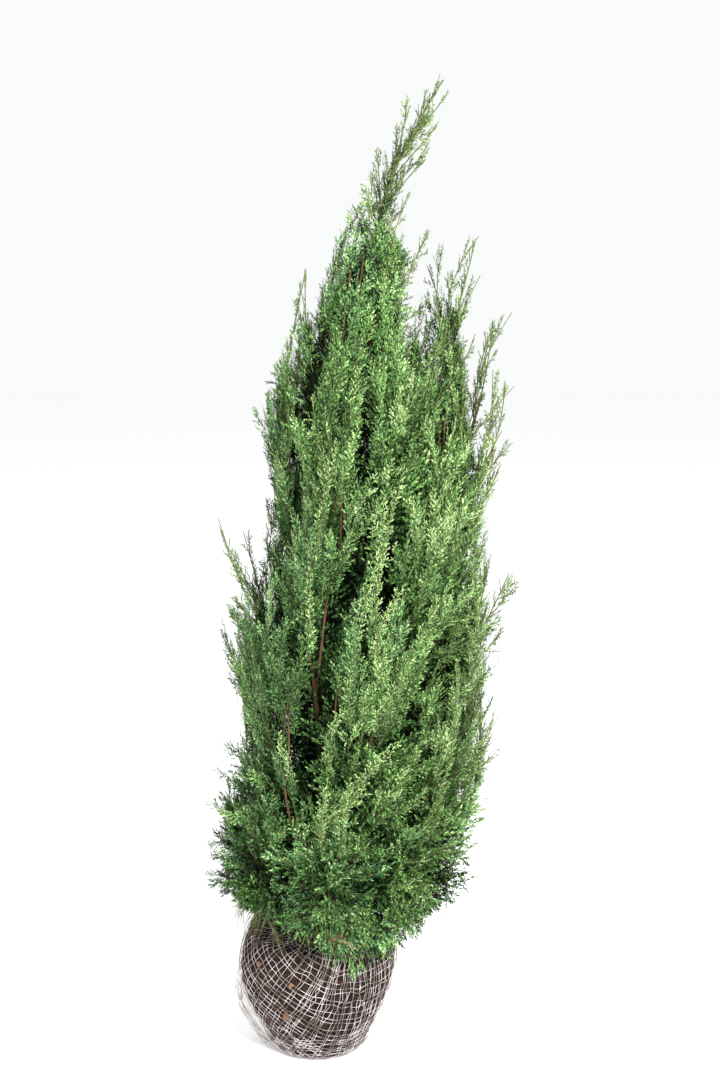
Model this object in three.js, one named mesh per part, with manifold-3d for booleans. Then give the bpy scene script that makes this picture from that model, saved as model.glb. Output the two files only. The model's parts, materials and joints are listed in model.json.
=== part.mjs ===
// A young Lawson cypress, lifted from the field with its roots in a netted ball of soil.
// Millimetres, +Z up. The front of the plant faces -Y, and +X is to its right. The origin is the
// middle of the ball's flat underside, so every height is a height above the ground.
//
// The trunk and a second leader carry tiers of steep boughs. Each bough ends in a plume of foliage:
// one stem, twigs that leave it by a seeded rule, and flat toothed sprays on the twigs.
import * as THREE from "three";
import { mergeVertices } from "three/addons/utils/BufferGeometryUtils.js";
import Module from "manifold-3d";

const wasm = await Module();
wasm.setup();

// Driving dimensions
const SEED = 29;
const GAP = 0.3; // clearance between two pieces that meet
const GOLDEN_ANGLE = 137.5; // turn from one twig to the next, degrees

const BALL = {
  height: 200,
  // Radius and height along its side, from the flat underside to the rim.
  side: [[74, 0], [83, 10], [90, 26], [99, 48], [110, 74], [119, 104], [126, 140], [122, 174], [112, 197]],
  widest: 126,
  sides: 30,
  lumps: 0.03, // how far the sides swell and sink, as a share of the radius
};

// The crown in two columns, one round each leader: height, left edge and right edge from the front,
// and half the depth.
const CROWN = {
  trunk: [
    [200, -108, 172, 130],
    [310, -182, 240, 195],
    [400, -170, 268, 202],
    [560, -122, 288, 192],
    [700, -142, 294, 186],
    [775, -144, 322, 180],
    [862, -142, 280, 168],
    [905, -104, 262, 160],
    [1000, -80, 204, 145],
    [1100, -64, 152, 120],
    [1250, -24, 148, 92],
    [1355, 42, 158, 62],
    [1440, 98, 184, 42],
    [1527, 178, 206, 16],
  ],
  second_leader: [
    [700, 90, 300, 130],
    [1000, 110, 304, 105],
    [1185, 142, 294, 74],
    [1299, 228, 258, 16],
  ],
};
const CROWN_PLAY = 1.06; // sprays may stand this much further out

const TRUNK = {
  path: [
    [-6, 0, BALL.height + GAP],
    [4, 3, 420],
    [13, 1, 600],
    [26, -5, 790],
    [47, -7, 905],
    [60, -2, 1050],
    [72, 2, 1190],
    [92, 0, 1300],
  ],
  footRadius: 11.5,
  tipRadius: 1.7,
  flare: 7, // how much wider the root flare is
  flareHeight: 34,
  sides: 8,
  steps: 18,
};

const SECOND_LEADER = {
  foot: 560, // height where it leaves the trunk
  path: [
    [74, -14, 668],
    [128, -22, 820],
    [166, -18, 990],
    [187, -12, 1072],
  ],
  footRadius: 5.2,
  tipRadius: 1.7,
  sides: 6,
  steps: 12,
};

// Tiers of plumes. Each tier starts at a bearing (0 is right, 90 is back, 180 is left, 270 is front)
// and goes round evenly, or by its own step. Heights of the boughs' feet and of the plumes' tips
// climb from one plume to the next. The shoulder is how far out a bough turns up, as a share of the crown.
const TIERS = [
  {
    name: "skirt", limb: "trunk", count: 7, bearing: 10, shoulder: 0.9,
    foot: 212, footClimb: 6, tip: 372, tipClimb: 18,
  },
  {
    name: "lower", limb: "trunk", count: 6, bearing: 338, shoulder: 0.76,
    foot: 276, footClimb: 14, tip: 556, tipClimb: 26,
  },
  {
    name: "middle", limb: "trunk", count: 5, bearing: 16, step: 74, shoulder: 0.66,
    foot: 392, footClimb: 26, tip: 776, tipClimb: 34,
  },
  {
    name: "upper", limb: "trunk", count: 5, bearing: 70, step: 58, shoulder: 0.62,
    foot: 610, footClimb: 22, tip: 985, tipClimb: 30,
  },
  {
    name: "side", limb: "second_leader", count: 3, bearing: 318, step: 42, shoulder: 0.8,
    foot: 725, footClimb: 60, tip: 992, tipClimb: 92,
  },
  {
    name: "top", limb: "trunk", count: 3, bearing: 186, step: 118, shoulder: 0.6,
    foot: 960, footClimb: 62, tip: 1252, tipClimb: 50, onTrunk: true,
  },
];
const TIPS = {
  trunk: [192, 0, 1527], // tip of the leading shoot
  second_leader: [243, -4, 1299],
};
const TIP_REACH = [0.84, 1]; // how far out the tips end, as shares of the crown
const SHOULDER_HEIGHT = 0.34; // where a bough turns up, as a share of its rise
const PLUME = { fullLength: 330, leastSize: 0.45, tipSize: 0.75, onward: 0.45 };
const BOUGH = { length: 0.26, rootRadius: 2.2, radiusPerLength: 0.0075, tipRadius: 1, sides: 6, steps: 5 };
const STEM = { sides: 3, steps: 6 };
const CORE = {
  sides: 6,
  steps: 5,
  twist: 0.5, // turn from ring to ring, in sides
  radius: 42,
  outer: 0.75, // share of the radius on the side that faces out of the crown, and on the other
  inner: 1.35,
  from: 0.03, // ends, as shares of the stem
  to: 0.97,
  least: 3, // the radius that every point starts from, and the step by which it goes out
  step: 2.5,
  lumps: 0.3,
};
const TWIG = {
  count: 12,
  low: 0.03, // first and last twig along the stem, as shares of it
  high: 0.82,
  spreadLow: 36, // angle from the stem at the foot and at the tip, degrees
  spreadHigh: 17,
  radius: 1.5,
  sunk: 0.8, // the twig ends at this share of the core's radius
  jitter: 0.15,
};
const SPRAY = {
  length: 108,
  shorten: 0.75, // at the plume's tip
  whipRoot: 0.7, // where the leading shoot starts along the stem
  halfWidth: 0.25, // share of the length
  whipHalfWidth: 0.13,
  rib: 0.017, // half-thickness at the midrib, share of the length
  root: 1.1, // half-thickness where it is sunk in its twig
  rootDepth: 0.03, // how far past the twig's middle it is sunk, share of the length
  turn: 50, // most that it is turned from lying flat on the plume, degrees
  sizes: [1, 0.8, 0.62], // tried in turn until one fits
  // The toothed edge: share of the length, share of the half-width.
  edge: [[0.34, 0.94], [0.43, 0.42], [0.67, 0.74], [0.72, 0.26]],
  centre: 0.45,
};
const CLEAR = { cell: 2.5, limb: 3 }; // foliage from its neighbours' spaces and from limbs

const COLOURS = {
  soil: { color: 0x4a3a31, roughness: 0.95, metalness: 0 },
  bark: { color: 0x7a4a30, roughness: 0.85, metalness: 0 },
  foliage: { color: 0x4f7d46, roughness: 0.7, metalness: 0 },
};

// A repeatable number from 0 to 1 for a list of whole numbers
function chance(...keys) {
  let h = SEED;
  for (const key of keys) {
    h = Math.imul(h ^ (key + 0x9e3779b9), 0x85ebca6b);
    h ^= h >>> 13;
    h = Math.imul(h, 0xc2b2ae35);
    h ^= h >>> 16;
  }
  return (h >>> 0) / 2 ** 32;
}

const lerp = THREE.MathUtils.lerp;
const radians = THREE.MathUtils.degToRad;
const vector = (point) => new THREE.Vector3(...point);

// A column of the crown at a height: its middle from left to right, half its width and half its depth
function crownAt(limb, height) {
  const outline = CROWN[limb];
  let k = 0;
  while (k < outline.length - 2 && height > outline[k + 1][0]) k++;
  const [low, high] = [outline[k], outline[k + 1]];
  const t = THREE.MathUtils.clamp((height - low[0]) / (high[0] - low[0]), 0, 1);
  const [, left, right, depth] = low.map((value, n) => lerp(value, high[n], t));
  return { middle: (left + right) / 2, half: (right - left) / 2, depth };
}

// The point of a column at a bearing and a height, at a share of the way out from its middle
function crownPoint(limb, bearing, height, reach) {
  const { middle, half, depth } = crownAt(limb, height);
  const a = radians(bearing);
  return new THREE.Vector3(middle + reach * half * Math.cos(a), reach * depth * Math.sin(a), height);
}

function insideCrown(p) {
  return Object.keys(CROWN).some((limb) => {
    const { middle, half, depth } = crownAt(limb, p.z);
    const within = Math.hypot((p.x - middle) / half, p.y / depth) < CROWN_PLAY;
    return within && p.z < CROWN[limb].at(-1)[0];
  });
}

// Where a limb's centreline passes a height
function atHeight(curve, height) {
  let low = 0;
  let high = 1;
  for (let k = 0; k < 30; k++) {
    const middle = (low + high) / 2;
    if (curve.getPoint(middle).z < height) low = middle;
    else high = middle;
  }
  return low;
}

// Closed solids as geometry, and back

function geometryOf(vertices, triangles) {
  const geometry = new THREE.BufferGeometry();
  geometry.setAttribute("position", new THREE.Float32BufferAttribute(vertices, 3));
  geometry.setIndex(triangles);
  return geometry;
}

function solidOf(geometry) {
  const bare = geometry.clone();
  bare.deleteAttribute("normal");
  bare.deleteAttribute("uv");
  const merged = mergeVertices(bare, 1e-4);
  return new wasm.Manifold(
    new wasm.Mesh({
      numProp: 3,
      vertProperties: merged.attributes.position.array,
      triVerts: new Uint32Array(merged.index.array),
    }),
  );
}

function geometryFrom(solid) {
  const mesh = solid.getMesh();
  const geometry = geometryOf(Array.from(mesh.vertProperties), Array.from(mesh.triVerts));
  geometry.computeVertexNormals();
  return geometry;
}

// The largest body of a fused solid: loose scraps are dropped and sealed hollows filled
function largestBody(solid) {
  return solid.decompose().reduce((a, b) => (b.volume() > a.volume() ? b : a));
}

// A direction square to another
function squareTo(direction) {
  const helper = Math.abs(direction.z) > 0.95 ? new THREE.Vector3(0, 1, 0) : new THREE.Vector3(0, 0, 1);
  return new THREE.Vector3().crossVectors(direction, helper).normalize();
}

// A closed solid through rings of points that go round their line counter-clockwise, seen from its end
function loft(rings) {
  const sides = rings[0].length;
  const end = (rings.length - 1) * sides;
  const triangles = [];
  for (let ring = 0; ring < end; ring += sides)
    for (let j = 0; j < sides; j++) {
      const a = ring + j;
      const b = ring + ((j + 1) % sides);
      triangles.push(a, b, a + sides, b, b + sides, a + sides);
    }
  for (let j = 1; j < sides - 1; j++) {
    triangles.push(0, j + 1, j);
    triangles.push(end, end + j, end + j + 1);
  }
  return geometryOf(rings.flat().flatMap((p) => p.toArray()), triangles);
}

// Rings along part of a curve, with the radius given by ring, side, share of the part and direction out
function ringsAlong(curve, from, to, sides, steps, radiusAt, twist = 0) {
  const normal = squareTo(curve.getTangent(from));
  return Array.from({ length: steps + 1 }, (_, i) => {
    const share = i / steps;
    const centre = curve.getPoint(lerp(from, to, share));
    const tangent = curve.getTangent(lerp(from, to, share));
    normal.addScaledVector(tangent, -normal.dot(tangent)).normalize();
    return Array.from({ length: sides }, (_, j) => {
      const turn = (2 * Math.PI * (j + twist * i)) / sides;
      const out = normal.clone().applyAxisAngle(tangent, turn);
      return centre.clone().addScaledVector(out, radiusAt({ i, j, share, centre, out }));
    });
  });
}

// A tapering limb of round section along part of a curve
function taperedLimb(curve, from, to, radiusAt, sides, steps) {
  return loft(ringsAlong(curve, from, to, sides, steps, ({ share }) => radiusAt(share)));
}

// The straight twig between two points, three-sided and pointed
function twigGeometry(foot, tip, radius) {
  return taperedLimb(new THREE.LineCurve3(foot, tip), 0, 1, (t) => lerp(radius, 0.45 * radius, t), 3, 1);
}

// The vertices of a spray: root edge, toothed outline and midrib, in the frame along, across, normal
function sprayVertices(place, length, halfWidth) {
  const { root, along, across, normal } = place;
  const point = (l, w, n) =>
    root
      .clone()
      .addScaledVector(along, l * length)
      .addScaledVector(across, w * halfWidth)
      .addScaledVector(normal, n);
  const rib = SPRAY.rib * length;
  const rightEdge = SPRAY.edge.map(([l, w]) => point(l, w, 0));
  const leftEdge = SPRAY.edge.map(([l, w]) => point(l, -w, 0)).reverse();
  return {
    upper: point(SPRAY.centre, 0, rib),
    lower: point(SPRAY.centre, 0, -rib),
    rootUpper: point(-SPRAY.rootDepth, 0, SPRAY.root),
    rootLower: point(-SPRAY.rootDepth, 0, -SPRAY.root),
    outline: [...rightEdge, point(1, 0, 0), ...leftEdge],
  };
}

// A spray as one toothed blade, thick along its midrib and thin at its edge
function sprayGeometry({ upper, lower, rootUpper, rootLower, outline }) {
  const points = [upper, lower, rootUpper, rootLower, ...outline];
  const first = 4;
  const last = points.length - 1;
  const triangles = [];
  for (let k = first; k < last; k++) {
    triangles.push(0, k, k + 1);
    triangles.push(1, k + 1, k);
  }
  triangles.push(0, 2, first, 0, last, 2);
  triangles.push(1, first, 3, 1, 3, last);
  triangles.push(2, 3, first, 3, 2, last);
  return geometryOf(points.flatMap((p) => [p.x, p.y, p.z]), triangles);
}

// The ball of soil: a turned profile with a flat underside, then swollen and sunk a little
function ballGeometry() {
  const { height } = BALL;
  const side = new THREE.SplineCurve(BALL.side.map(([radius, z]) => new THREE.Vector2(radius, z)));
  const profile = [new THREE.Vector2(0, 0), ...side.getPoints(14)];
  profile.push(new THREE.Vector2(0.6 * BALL.side.at(-1)[0], height), new THREE.Vector2(0, height));
  const geometry = new THREE.LatheGeometry(profile, BALL.sides).rotateX(Math.PI / 2);
  const position = geometry.attributes.position;
  for (let i = 0; i < position.count; i++) {
    const [x, y, z] = [position.getX(i), position.getY(i), position.getZ(i)];
    const a = Math.atan2(y, x);
    const onSide = Math.sin((Math.PI * z) / height);
    const swell = 1 + BALL.lumps * onSide * (Math.sin(2 * a + 0.6) + 0.7 * Math.sin(3 * a - z / 40));
    position.setXY(i, x * swell, y * swell);
  }
  return geometry;
}

// Trunk and second leader

function trunkRadius(share, grown = 0) {
  const height = share * (TRUNK.path.at(-1)[2] - BALL.height);
  const flare = TRUNK.flare * Math.exp(-3 * (height / TRUNK.flareHeight));
  return lerp(TRUNK.footRadius, TRUNK.tipRadius, share ** 0.9) + flare + grown;
}

function leaderRadius(share, grown = 0) {
  return lerp(SECOND_LEADER.footRadius, SECOND_LEADER.tipRadius, share) + grown;
}

const trunkCurve = new THREE.CatmullRomCurve3(TRUNK.path.map(vector));
const leaderFoot = trunkCurve.getPoint(atHeight(trunkCurve, SECOND_LEADER.foot));
const leaderCurve = new THREE.CatmullRomCurve3([leaderFoot, ...SECOND_LEADER.path.map(vector)]);

// The trunk, cut flat at its foot
function trunkLimb(grown = 0) {
  const radius = ({ share }) => trunkRadius(share, grown);
  const rings = ringsAlong(trunkCurve, 0, 1, TRUNK.sides, TRUNK.steps, radius);
  for (const p of rings[0]) p.z = TRUNK.path[0][2];
  return loft(rings);
}

function leaderLimb(grown = 0) {
  const radius = (share) => leaderRadius(share, grown);
  return taperedLimb(leaderCurve, 0, 1, radius, SECOND_LEADER.sides, SECOND_LEADER.steps);
}

const SEAT = 1.3 * GAP; // a limb's seat is cut this much wider, because facets lie inside the round
const seats = { trunk: solidOf(trunkLimb(SEAT)), second_leader: solidOf(leaderLimb(SEAT)) };
const limbCurves = { trunk: trunkCurve, second_leader: leaderCurve };

// Plumes: the centreline of each bough and of the stem that carries on from it

function plumeOf(tier, i, number) {
  const { limb, onTrunk } = tier;
  const bearing = tier.bearing + i * (tier.step ?? 360 / tier.count);
  const foot = tier.foot + i * tier.footClimb;
  const tip = tier.tip + i * tier.tipClimb;
  const curve = new THREE.QuadraticBezierCurve3(
    limbCurves[limb].getPoint(atHeight(limbCurves[limb], foot)),
    crownPoint(limb, bearing, lerp(foot, tip, SHOULDER_HEIGHT), tier.shoulder),
    crownPoint(limb, bearing, tip, lerp(...TIP_REACH, chance(number, 1))),
  );
  const name = `${tier.name}_${i + 1}`;
  const start = onTrunk ? 0 : BOUGH.length;
  return { name, limb, curve, number, size: plumeSize(curve), onTrunk, start };
}

// The plume that carries on from a leader's own tip
function tipPlume(limb, number) {
  const from = limbCurves[limb].getPoint(1);
  const tip = vector(TIPS[limb]);
  const onward = limbCurves[limb].getTangent(1).multiplyScalar(PLUME.onward * from.distanceTo(tip)).add(from);
  const curve = new THREE.QuadraticBezierCurve3(from, onward, tip);
  return { name: `${limb}_tip`, limb, curve, number, size: PLUME.tipSize * plumeSize(curve), start: 0 };
}

// How full a plume is, by its length
const plumeSize = (curve) => THREE.MathUtils.clamp(curve.getLength() / PLUME.fullLength, PLUME.leastSize, 1);

function allPlumes() {
  const tiers = TIERS.flatMap((tier) => Array.from({ length: tier.count }, (_, i) => [tier, i]));
  return [
    ...tiers.map(([tier, i], number) => plumeOf(tier, i, number)),
    ...Object.keys(TIPS).map((limb, n) => tipPlume(limb, tiers.length + n)),
  ];
}

const plumes = allPlumes();
const boughs = plumes.filter(({ start }) => start > 0);
const boughRadius = (plume, share) =>
  lerp(BOUGH.rootRadius + BOUGH.radiusPerLength * plume.curve.getLength(), BOUGH.tipRadius, share);

function boughLimb(plume, grown = 0) {
  const radius = (t) => boughRadius(plume, t * plume.start) + grown;
  return taperedLimb(plume.curve, 0, plume.start, radius, BOUGH.sides, BOUGH.steps);
}

// Foliage keeps to the space nearest its own stem, and off every limb

const CELL_STEPS = 14;
for (const plume of plumes)
  plume.cell = Array.from({ length: CELL_STEPS + 1 }, (_, k) =>
    plume.curve.getPoint(lerp(plume.start, 1, k / CELL_STEPS)),
  );

function limbBeads(curve, radiusAt, from, to, steps) {
  return Array.from({ length: steps + 1 }, (_, k) => ({
    at: curve.getPoint(lerp(from, to, k / steps)),
    radius: radiusAt(k / steps),
  }));
}

const beads = [
  ...limbBeads(trunkCurve, trunkRadius, 0, 1, 240),
  ...limbBeads(leaderCurve, leaderRadius, 0, 1, 120),
  ...boughs.flatMap((plume) =>
    limbBeads(plume.curve, (t) => boughRadius(plume, t * plume.start), 0, plume.start, 40),
  ),
];

const nearest = (points, p) => Math.min(...points.map((q) => q.distanceTo(p)));

// Whether points within a reach of the first one all lie in the plume's own space
function fits(plume, points, reach) {
  const far = nearest(plume.cell, points[0]) + 2 * (reach + CLEAR.cell);
  const others = plumes.filter((other) => other !== plume && nearest(other.cell, points[0]) < far);
  const near = beads.filter((bead) => bead.at.distanceTo(points[0]) < reach + 2 * TRUNK.footRadius);
  return points.every((p) => {
    const onBall = p.z < BALL.height + CLEAR.limb && Math.hypot(p.x, p.y) < BALL.widest + 12;
    if (onBall || !insideCrown(p)) return false;
    const own = nearest(plume.cell, p) + CLEAR.cell;
    return (
      near.every((bead) => bead.at.distanceTo(p) > bead.radius + CLEAR.limb) &&
      others.every((other) => nearest(other.cell, p) > own)
    );
  });
}

// Points along a spray's outline and midrib, to test where it lies
function sprayProbes({ rootUpper, outline }) {
  const tip = outline[SPRAY.edge.length];
  const probes = [...outline];
  for (let k = 0; k < outline.length - 1; k++) probes.push(outline[k].clone().lerp(outline[k + 1], 0.5));
  for (const t of [0.12, 0.25, 0.4, 0.55, 0.7, 0.85]) probes.push(rootUpper.clone().lerp(tip, t));
  probes.push(rootUpper.clone().lerp(outline[0], 0.5), rootUpper.clone().lerp(outline.at(-1), 0.5));
  return probes;
}

// The frame of a spray that grows from a root along a direction, with its breadth across that
function sprayPlace(root, along, across) {
  return { root, along, across, normal: new THREE.Vector3().crossVectors(across, along) };
}

// Adds the largest size of a spray that fits, and says whether one did
function addSpray(plume, solids, place, length, share) {
  for (const size of SPRAY.sizes) {
    const vertices = sprayVertices(place, size * length, size * length * share);
    if (fits(plume, sprayProbes(vertices), size * length)) {
      solids.push(solidOf(sprayGeometry(vertices)));
      return true;
    }
  }
  return false;
}

// Where a plume's stem starts along its curve: a clear gap past the limb that carries it
function jointOf({ curve, start, onTrunk }) {
  const step = 0.001;
  const speed = curve.getPoint(start).distanceTo(curve.getPoint(start + step)) / step;
  return onTrunk ? 0 : start + GAP / speed;
}

// How thick the dense inside of a plume may be, at a share of its stem
const coreRadius = (size, t) => CORE.radius * size * Math.sin(Math.PI * t ** 0.6) ** 0.9;

// The level direction from a limb's column to a point
function outOf(limb, p) {
  return new THREE.Vector3(p.x - crownAt(limb, p.z).middle, p.y, 0).normalize();
}

// The dense inside of a plume: each point goes out from the stem as far as the plume's space allows
function coreGeometry(plume, joint, size) {
  const radiusAt = ({ i, j, share, centre, out }) => {
    const outward = 0.5 + 0.5 * out.dot(outOf(plume.limb, centre));
    const lump = 1 + CORE.lumps * (chance(plume.number, i, j, 8) - 0.5);
    const swell = lump * lerp(CORE.inner, CORE.outer, outward);
    const most = swell * coreRadius(size, lerp(CORE.from, CORE.to, share));
    let radius = CORE.least;
    const further = () => centre.clone().addScaledVector(out, radius + CORE.step);
    while (radius < most && fits(plume, [further()], 0)) radius += CORE.step;
    return radius;
  };
  const [from, to] = [lerp(joint, 1, CORE.from), lerp(joint, 1, CORE.to)];
  return loft(ringsAlong(plume.curve, from, to, CORE.sides, CORE.steps, radiusAt, CORE.twist));
}

// Sprays of one plume: twigs leave the stem by the golden angle, and each twig ends in a spray
function sprayedTwigs(plume, joint, size) {
  const { curve, number } = plume;
  const solids = [];
  for (let j = 0; j < TWIG.count; j++) {
    const t = lerp(TWIG.low, TWIG.high, j / (TWIG.count - 1));
    const share = lerp(joint, 1, t);
    const foot = curve.getPoint(share);
    const stem = curve.getTangent(share);
    const out = squareTo(stem).applyAxisAngle(stem, radians(GOLDEN_ANGLE * j + 360 * chance(number, 2)));
    const vary = (key) => lerp(1 - TWIG.jitter, 1 + TWIG.jitter, chance(number, j, key));
    const spread = radians(lerp(TWIG.spreadLow, TWIG.spreadHigh, t) * vary(3));
    const along = stem.clone().multiplyScalar(Math.cos(spread)).addScaledVector(out, Math.sin(spread));
    const reach = (TWIG.sunk * coreRadius(size, t) * vary(4)) / Math.sin(spread);
    const tip = foot.clone().addScaledVector(along, reach);
    const across = new THREE.Vector3().crossVectors(along, out).normalize();
    const turn = radians(SPRAY.turn * (2 * chance(number, j, 5) - 1));
    const place = sprayPlace(tip, along, across.applyAxisAngle(along, turn));
    const length = SPRAY.length * lerp(1, SPRAY.shorten, t) * lerp(0.5, 1, size);
    if (addSpray(plume, solids, place, length, SPRAY.halfWidth))
      solids.push(solidOf(twigGeometry(foot, tip, TWIG.radius)));
  }
  return solids;
}

// The leading shoot of a plume: a slim spray that runs on to the tip
function leadingShoot(plume, joint) {
  const root = plume.curve.getPoint(lerp(joint, 1, SPRAY.whipRoot));
  const along = plume.curve.getPoint(1).sub(root);
  const length = along.length();
  const across = squareTo(along.normalize()).applyAxisAngle(along, radians(360 * chance(plume.number, 7)));
  const place = sprayPlace(root, along, across);
  return solidOf(sprayGeometry(sprayVertices(place, length, SPRAY.whipHalfWidth * length)));
}

// One mass of foliage: its stem, its dense inside, its sprays and its leading shoot
function foliageSolid(plume) {
  const joint = jointOf(plume);
  const stemRadius = (t) => boughRadius(plume, lerp(joint, 1, t));
  return wasm.Manifold.union([
    solidOf(taperedLimb(plume.curve, joint, 1, stemRadius, STEM.sides, STEM.steps)),
    solidOf(coreGeometry(plume, joint, plume.size)),
    ...sprayedTwigs(plume, joint, plume.size),
    leadingShoot(plume, joint),
  ]);
}

// Assembly

function named(name, geometry, look) {
  const mesh = new THREE.Mesh(geometry, new THREE.MeshStandardMaterial(COLOURS[look]));
  mesh.name = name;
  return mesh;
}

const tree = new THREE.Group();
const limbGroup = new THREE.Group();
const foliageGroup = new THREE.Group();
tree.add(named("root_ball", ballGeometry(), "soil"), limbGroup, foliageGroup);

const secondLeader = largestBody(solidOf(leaderLimb()).subtract(seats.trunk));
limbGroup.add(named("trunk", trunkLimb(), "bark"));
limbGroup.add(named("second_leader", geometryFrom(secondLeader), "bark"));
for (const plume of boughs) {
  const whole = solidOf(boughLimb(plume)).subtract(seats[plume.limb]);
  limbGroup.add(named(`bough_${plume.name}`, geometryFrom(largestBody(whole)), "bark"));
}
const allSeats = wasm.Manifold.union([
  ...Object.values(seats),
  ...boughs.map((plume) => solidOf(boughLimb(plume, SEAT))),
]);
for (const plume of plumes) {
  const mass = largestBody(foliageSolid(plume).subtract(allSeats));
  foliageGroup.add(named(`foliage_${plume.name}`, geometryFrom(mass), "foliage"));
}

export default tree;
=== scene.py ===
# %% [markdown]
# # A young Lawson cypress on its root ball
# The real plant was lifted from a nursery field. It is a leaning trunk with a second leader, steep
# boughs, feathery plumes of flat ferny sprays, and a ball of soil tied up in netting. Nobody could
# place its many thousands of green shoots by hand, so this lesson grows them by rule, the same rule
# that made the solids, and carries it on to finer twigs. First comes the frame: the packed
# solids, which give every size and place.

# %% Load the frame
import json
import math

import bpy
import numpy as np
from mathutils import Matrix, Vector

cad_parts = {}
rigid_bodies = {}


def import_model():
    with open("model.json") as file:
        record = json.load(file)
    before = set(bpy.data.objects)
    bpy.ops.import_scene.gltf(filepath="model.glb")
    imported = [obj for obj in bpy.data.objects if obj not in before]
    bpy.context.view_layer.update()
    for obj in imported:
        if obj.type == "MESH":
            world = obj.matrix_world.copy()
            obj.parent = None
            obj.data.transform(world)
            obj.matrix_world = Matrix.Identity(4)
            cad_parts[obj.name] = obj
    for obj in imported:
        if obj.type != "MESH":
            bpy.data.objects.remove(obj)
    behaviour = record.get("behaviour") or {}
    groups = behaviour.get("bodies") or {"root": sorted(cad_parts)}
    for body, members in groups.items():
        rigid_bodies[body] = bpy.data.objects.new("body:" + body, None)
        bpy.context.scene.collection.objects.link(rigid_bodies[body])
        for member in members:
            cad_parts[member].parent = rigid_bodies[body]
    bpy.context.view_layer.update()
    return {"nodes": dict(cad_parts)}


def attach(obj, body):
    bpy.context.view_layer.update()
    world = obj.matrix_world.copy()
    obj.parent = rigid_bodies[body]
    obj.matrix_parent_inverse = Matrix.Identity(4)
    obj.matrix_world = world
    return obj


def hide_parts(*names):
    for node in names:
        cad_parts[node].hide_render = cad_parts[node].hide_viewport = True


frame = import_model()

MM = 0.001  # sizes below are in millimetres, and meshes are in metres
NODES = sorted(frame["nodes"])

# %% [markdown]
# ## Camera and light
# The plant was photographed from in front, from a little above its middle, with a normal lens in soft
# even light. Setting the camera first means that every piece can be judged from the right place as it
# is made. Big area lights give soft shadows, and a pale world fills them in, which is how a photo
# studio is lit.

# %% The camera, at the photograph's place
CAMERA_PLACE = (0.069, -2.295, 1.271)
CAMERA_PITCH = math.radians(10.68)  # down from level
LENS = 50
FILM = 36  # the picture's long side

camera = bpy.data.objects.new("camera", bpy.data.cameras.new("camera"))
camera.location = CAMERA_PLACE
camera.rotation_euler = (math.pi / 2 - CAMERA_PITCH, 0, 0)
camera.data.lens = LENS
camera.data.sensor_width = FILM
bpy.context.scene.collection.objects.link(camera)
bpy.context.scene.camera = camera

# %% Soft lights and a pale world
LIGHTS = [
    # name, place, size in metres, watts
    ("key", (1.5, -2.4, 2.7), 0.8, 240),
    ("fill", (-2.2, -1.9, 1.6), 2.0, 50),
    ("rim", (0.4, 2.3, 2.4), 1.8, 20),
]
LIGHT_TARGET = np.array([0.07, 0.0, 0.75])
WORLD_COLOUR = (0.955, 0.96, 0.965, 1)


def aimed(place, target):
    """The turn that points a lamp from a place to a target."""
    direction = Vector(target) - Vector(place)
    return direction.to_track_quat("-Z", "Y").to_euler()


for name, place, size, watts in LIGHTS:
    lamp = bpy.data.lights.new(name, "AREA")
    lamp.shape = "DISK"
    lamp.size = size
    lamp.energy = watts
    light = bpy.data.objects.new(name, lamp)
    light.location = place
    light.rotation_euler = aimed(place, LIGHT_TARGET)
    bpy.context.scene.collection.objects.link(light)

world = bpy.data.worlds.new("pale_world")
world.use_nodes = True
world.node_tree.nodes["Background"].inputs["Color"].default_value = WORLD_COLOUR
bpy.context.scene.world = world
bpy.context.scene.view_settings.view_transform = "Standard"

# %% [markdown]
# ## Small tools
# A few helpers keep the cells short. One makes an object from arrays, one skins a row of rings, one
# makes a node tree with named inputs, and one runs such a tree and keeps its result as a plain mesh,
# because instances and live modifiers don't travel to other programs.

# %% Objects from arrays
ATTRIBUTE_TYPES = {1: ("FLOAT", "value"), 2: ("FLOAT_VECTOR", "vector")}


def linked(name, mesh):
    """A new object in the scene for a mesh."""
    thing = bpy.data.objects.new(name, mesh)
    bpy.context.scene.collection.objects.link(thing)
    return thing


def from_arrays(name, points, faces=(), edges=(), **attributes):
    """An object from points in millimetres, with named numbers or vectors on its points."""
    mesh = bpy.data.meshes.new(name)
    mesh.from_pydata((np.asarray(points) * MM).tolist(), np.asarray(edges).tolist(), list(faces))
    for key, values in attributes.items():
        values = np.asarray(values, dtype=np.float32)
        kind, field = ATTRIBUTE_TYPES[values.ndim]
        mesh.attributes.new(key, kind, "POINT").data.foreach_set(field, values.ravel())
    return linked(name, mesh)


def lofted(rings):
    """Points and faces of a skin over rings of points, closed at both ends."""
    index = np.arange(rings[..., 0].size).reshape(rings.shape[:2])
    after = np.roll(index, -1, axis=1)
    faces = np.stack([index[:-1], after[:-1], after[1:], index[1:]], -1).reshape(-1, 4).tolist()
    return rings.reshape(-1, 3), faces + [index[0, ::-1].tolist(), index[-1].tolist()]


# %% Geometry Nodes helpers
SOCKETS = {
    "Geometry": "NodeSocketGeometry",
    "Material": "NodeSocketMaterial",
    "Shapes": "NodeSocketCollection",
    "Sides": "NodeSocketInt",
    "Depth": "NodeSocketFloat",
    "Scale": "NodeSocketFloat",
}


def new_tree(name, inputs):
    """A geometry node tree with named inputs, its input node and its output node."""
    tree = bpy.data.node_groups.new(name, "GeometryNodeTree")
    for key in ("Geometry", *inputs):
        tree.interface.new_socket(key, in_out="INPUT", socket_type=SOCKETS[key])
    tree.interface.new_socket("Geometry", in_out="OUTPUT", socket_type=SOCKETS["Geometry"])
    return tree, tree.nodes.new("NodeGroupInput"), tree.nodes.new("NodeGroupOutput")


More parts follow.
